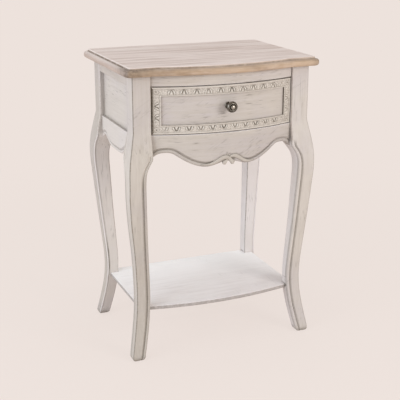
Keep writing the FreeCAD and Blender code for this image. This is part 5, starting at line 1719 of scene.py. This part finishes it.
def add_light(context, name, power, tone):
    """A large square light at its place in the studio, turned towards the nightstand."""
    lamp = bpy.data.lights.new(name, "AREA")
    lamp.energy, lamp.color, lamp.size = power, tone, STUDIO[name].size
    light = bpy.data.objects.new(name, lamp)
    light.location = STUDIO[name].place
    towards = Vector(STUDIO_AIM) - light.location
    light.rotation_euler = towards.to_track_quat("-Z", "Y").to_euler()
    context.scene.collection.objects.link(light)


def make_light(context, stage):
    """Soft light from all round, a key light at the right of the front, a fill at the left and one above."""
    world = bpy.data.worlds.new("studio")
    bench = empty_bench(world)
    sky = bench.node("ShaderNodeBackground", {"Color": PLAIN_WHITE, "Strength": stage.sky}).outputs[0]
    pale = bench.node("ShaderNodeBackground", {"Color": stage.background, "Strength": 1.0}).outputs[0]
    shown = bench.node("ShaderNodeMixShader", {0: seen_rays(bench), 1: sky, 2: pale}).outputs[0]
    bench.node("ShaderNodeOutputWorld", {"Surface": shown})
    context.scene.world = world
    add_light(context, "key_light", stage.key, PLAIN_WHITE)
    add_light(context, "top_light", stage.overhead, PLAIN_WHITE)
    add_light(context, "fill_light", stage.fill, stage.fill_colour)


def make_camera(context, stage):
    """The camera at the photograph's angle."""
    lens = bpy.data.cameras.new("camera")
    lens.lens = stage.lens
    lens.sensor_width = SENSOR_WIDTH
    camera = bpy.data.objects.new("camera", lens)
    camera.location = stage.camera_place
    camera.rotation_euler = (math.pi / 2 - stage.camera_tilt, 0.0, -stage.camera_turn)
    context.scene.collection.objects.link(camera)
    context.scene.camera = camera


BUILD_ORDER = (
    NIGHTSTAND_OT_finishes,
    NIGHTSTAND_OT_top_board,
    NIGHTSTAND_OT_legs,
    NIGHTSTAND_OT_aprons,
    NIGHTSTAND_OT_rails,
    NIGHTSTAND_OT_shelf,
    NIGHTSTAND_OT_drawer,
    NIGHTSTAND_OT_knob,
    NIGHTSTAND_OT_inside,
    NIGHTSTAND_OT_stage,
)


class NIGHTSTAND_PT_panel(Panel):
    """Lists the steps that build the nightstand"""

    bl_idname = "NIGHTSTAND_PT_panel"
    bl_label = "Nightstand"
    bl_space_type = "VIEW_3D"
    bl_region_type = "UI"
    bl_category = "Nightstand"

    def draw(self, context):
        for step in BUILD_ORDER:
            self.layout.operator(step.bl_idname)


CLASSES = (
    NIGHTSTAND_PG_legs,
    NIGHTSTAND_PG_aprons,
    NIGHTSTAND_PG_top,
    NIGHTSTAND_PG_shelf,
    NIGHTSTAND_PG_carving,
    NIGHTSTAND_PG_finish,
    NIGHTSTAND_PG_stage,
    NIGHTSTAND_PG_settings,
    *BUILD_ORDER,
    NIGHTSTAND_PT_panel,
)


def register():
    """Registers the classes and hangs the settings on the scene."""
    for kind in CLASSES:
        bpy.utils.register_class(kind)
    bpy.types.Scene.nightstand = PointerProperty(type=NIGHTSTAND_PG_settings)


def unregister():
    """Takes the settings and the classes away again."""
    del bpy.types.Scene.nightstand
    for kind in reversed(CLASSES):
        bpy.utils.unregister_class(kind)


def main():
    """Builds every piece in order."""
    register()
    for step in BUILD_ORDER:
        group, name = step.bl_idname.split(".")
        getattr(getattr(bpy.ops, group), name)()


if __name__ == "__main__":
    main()
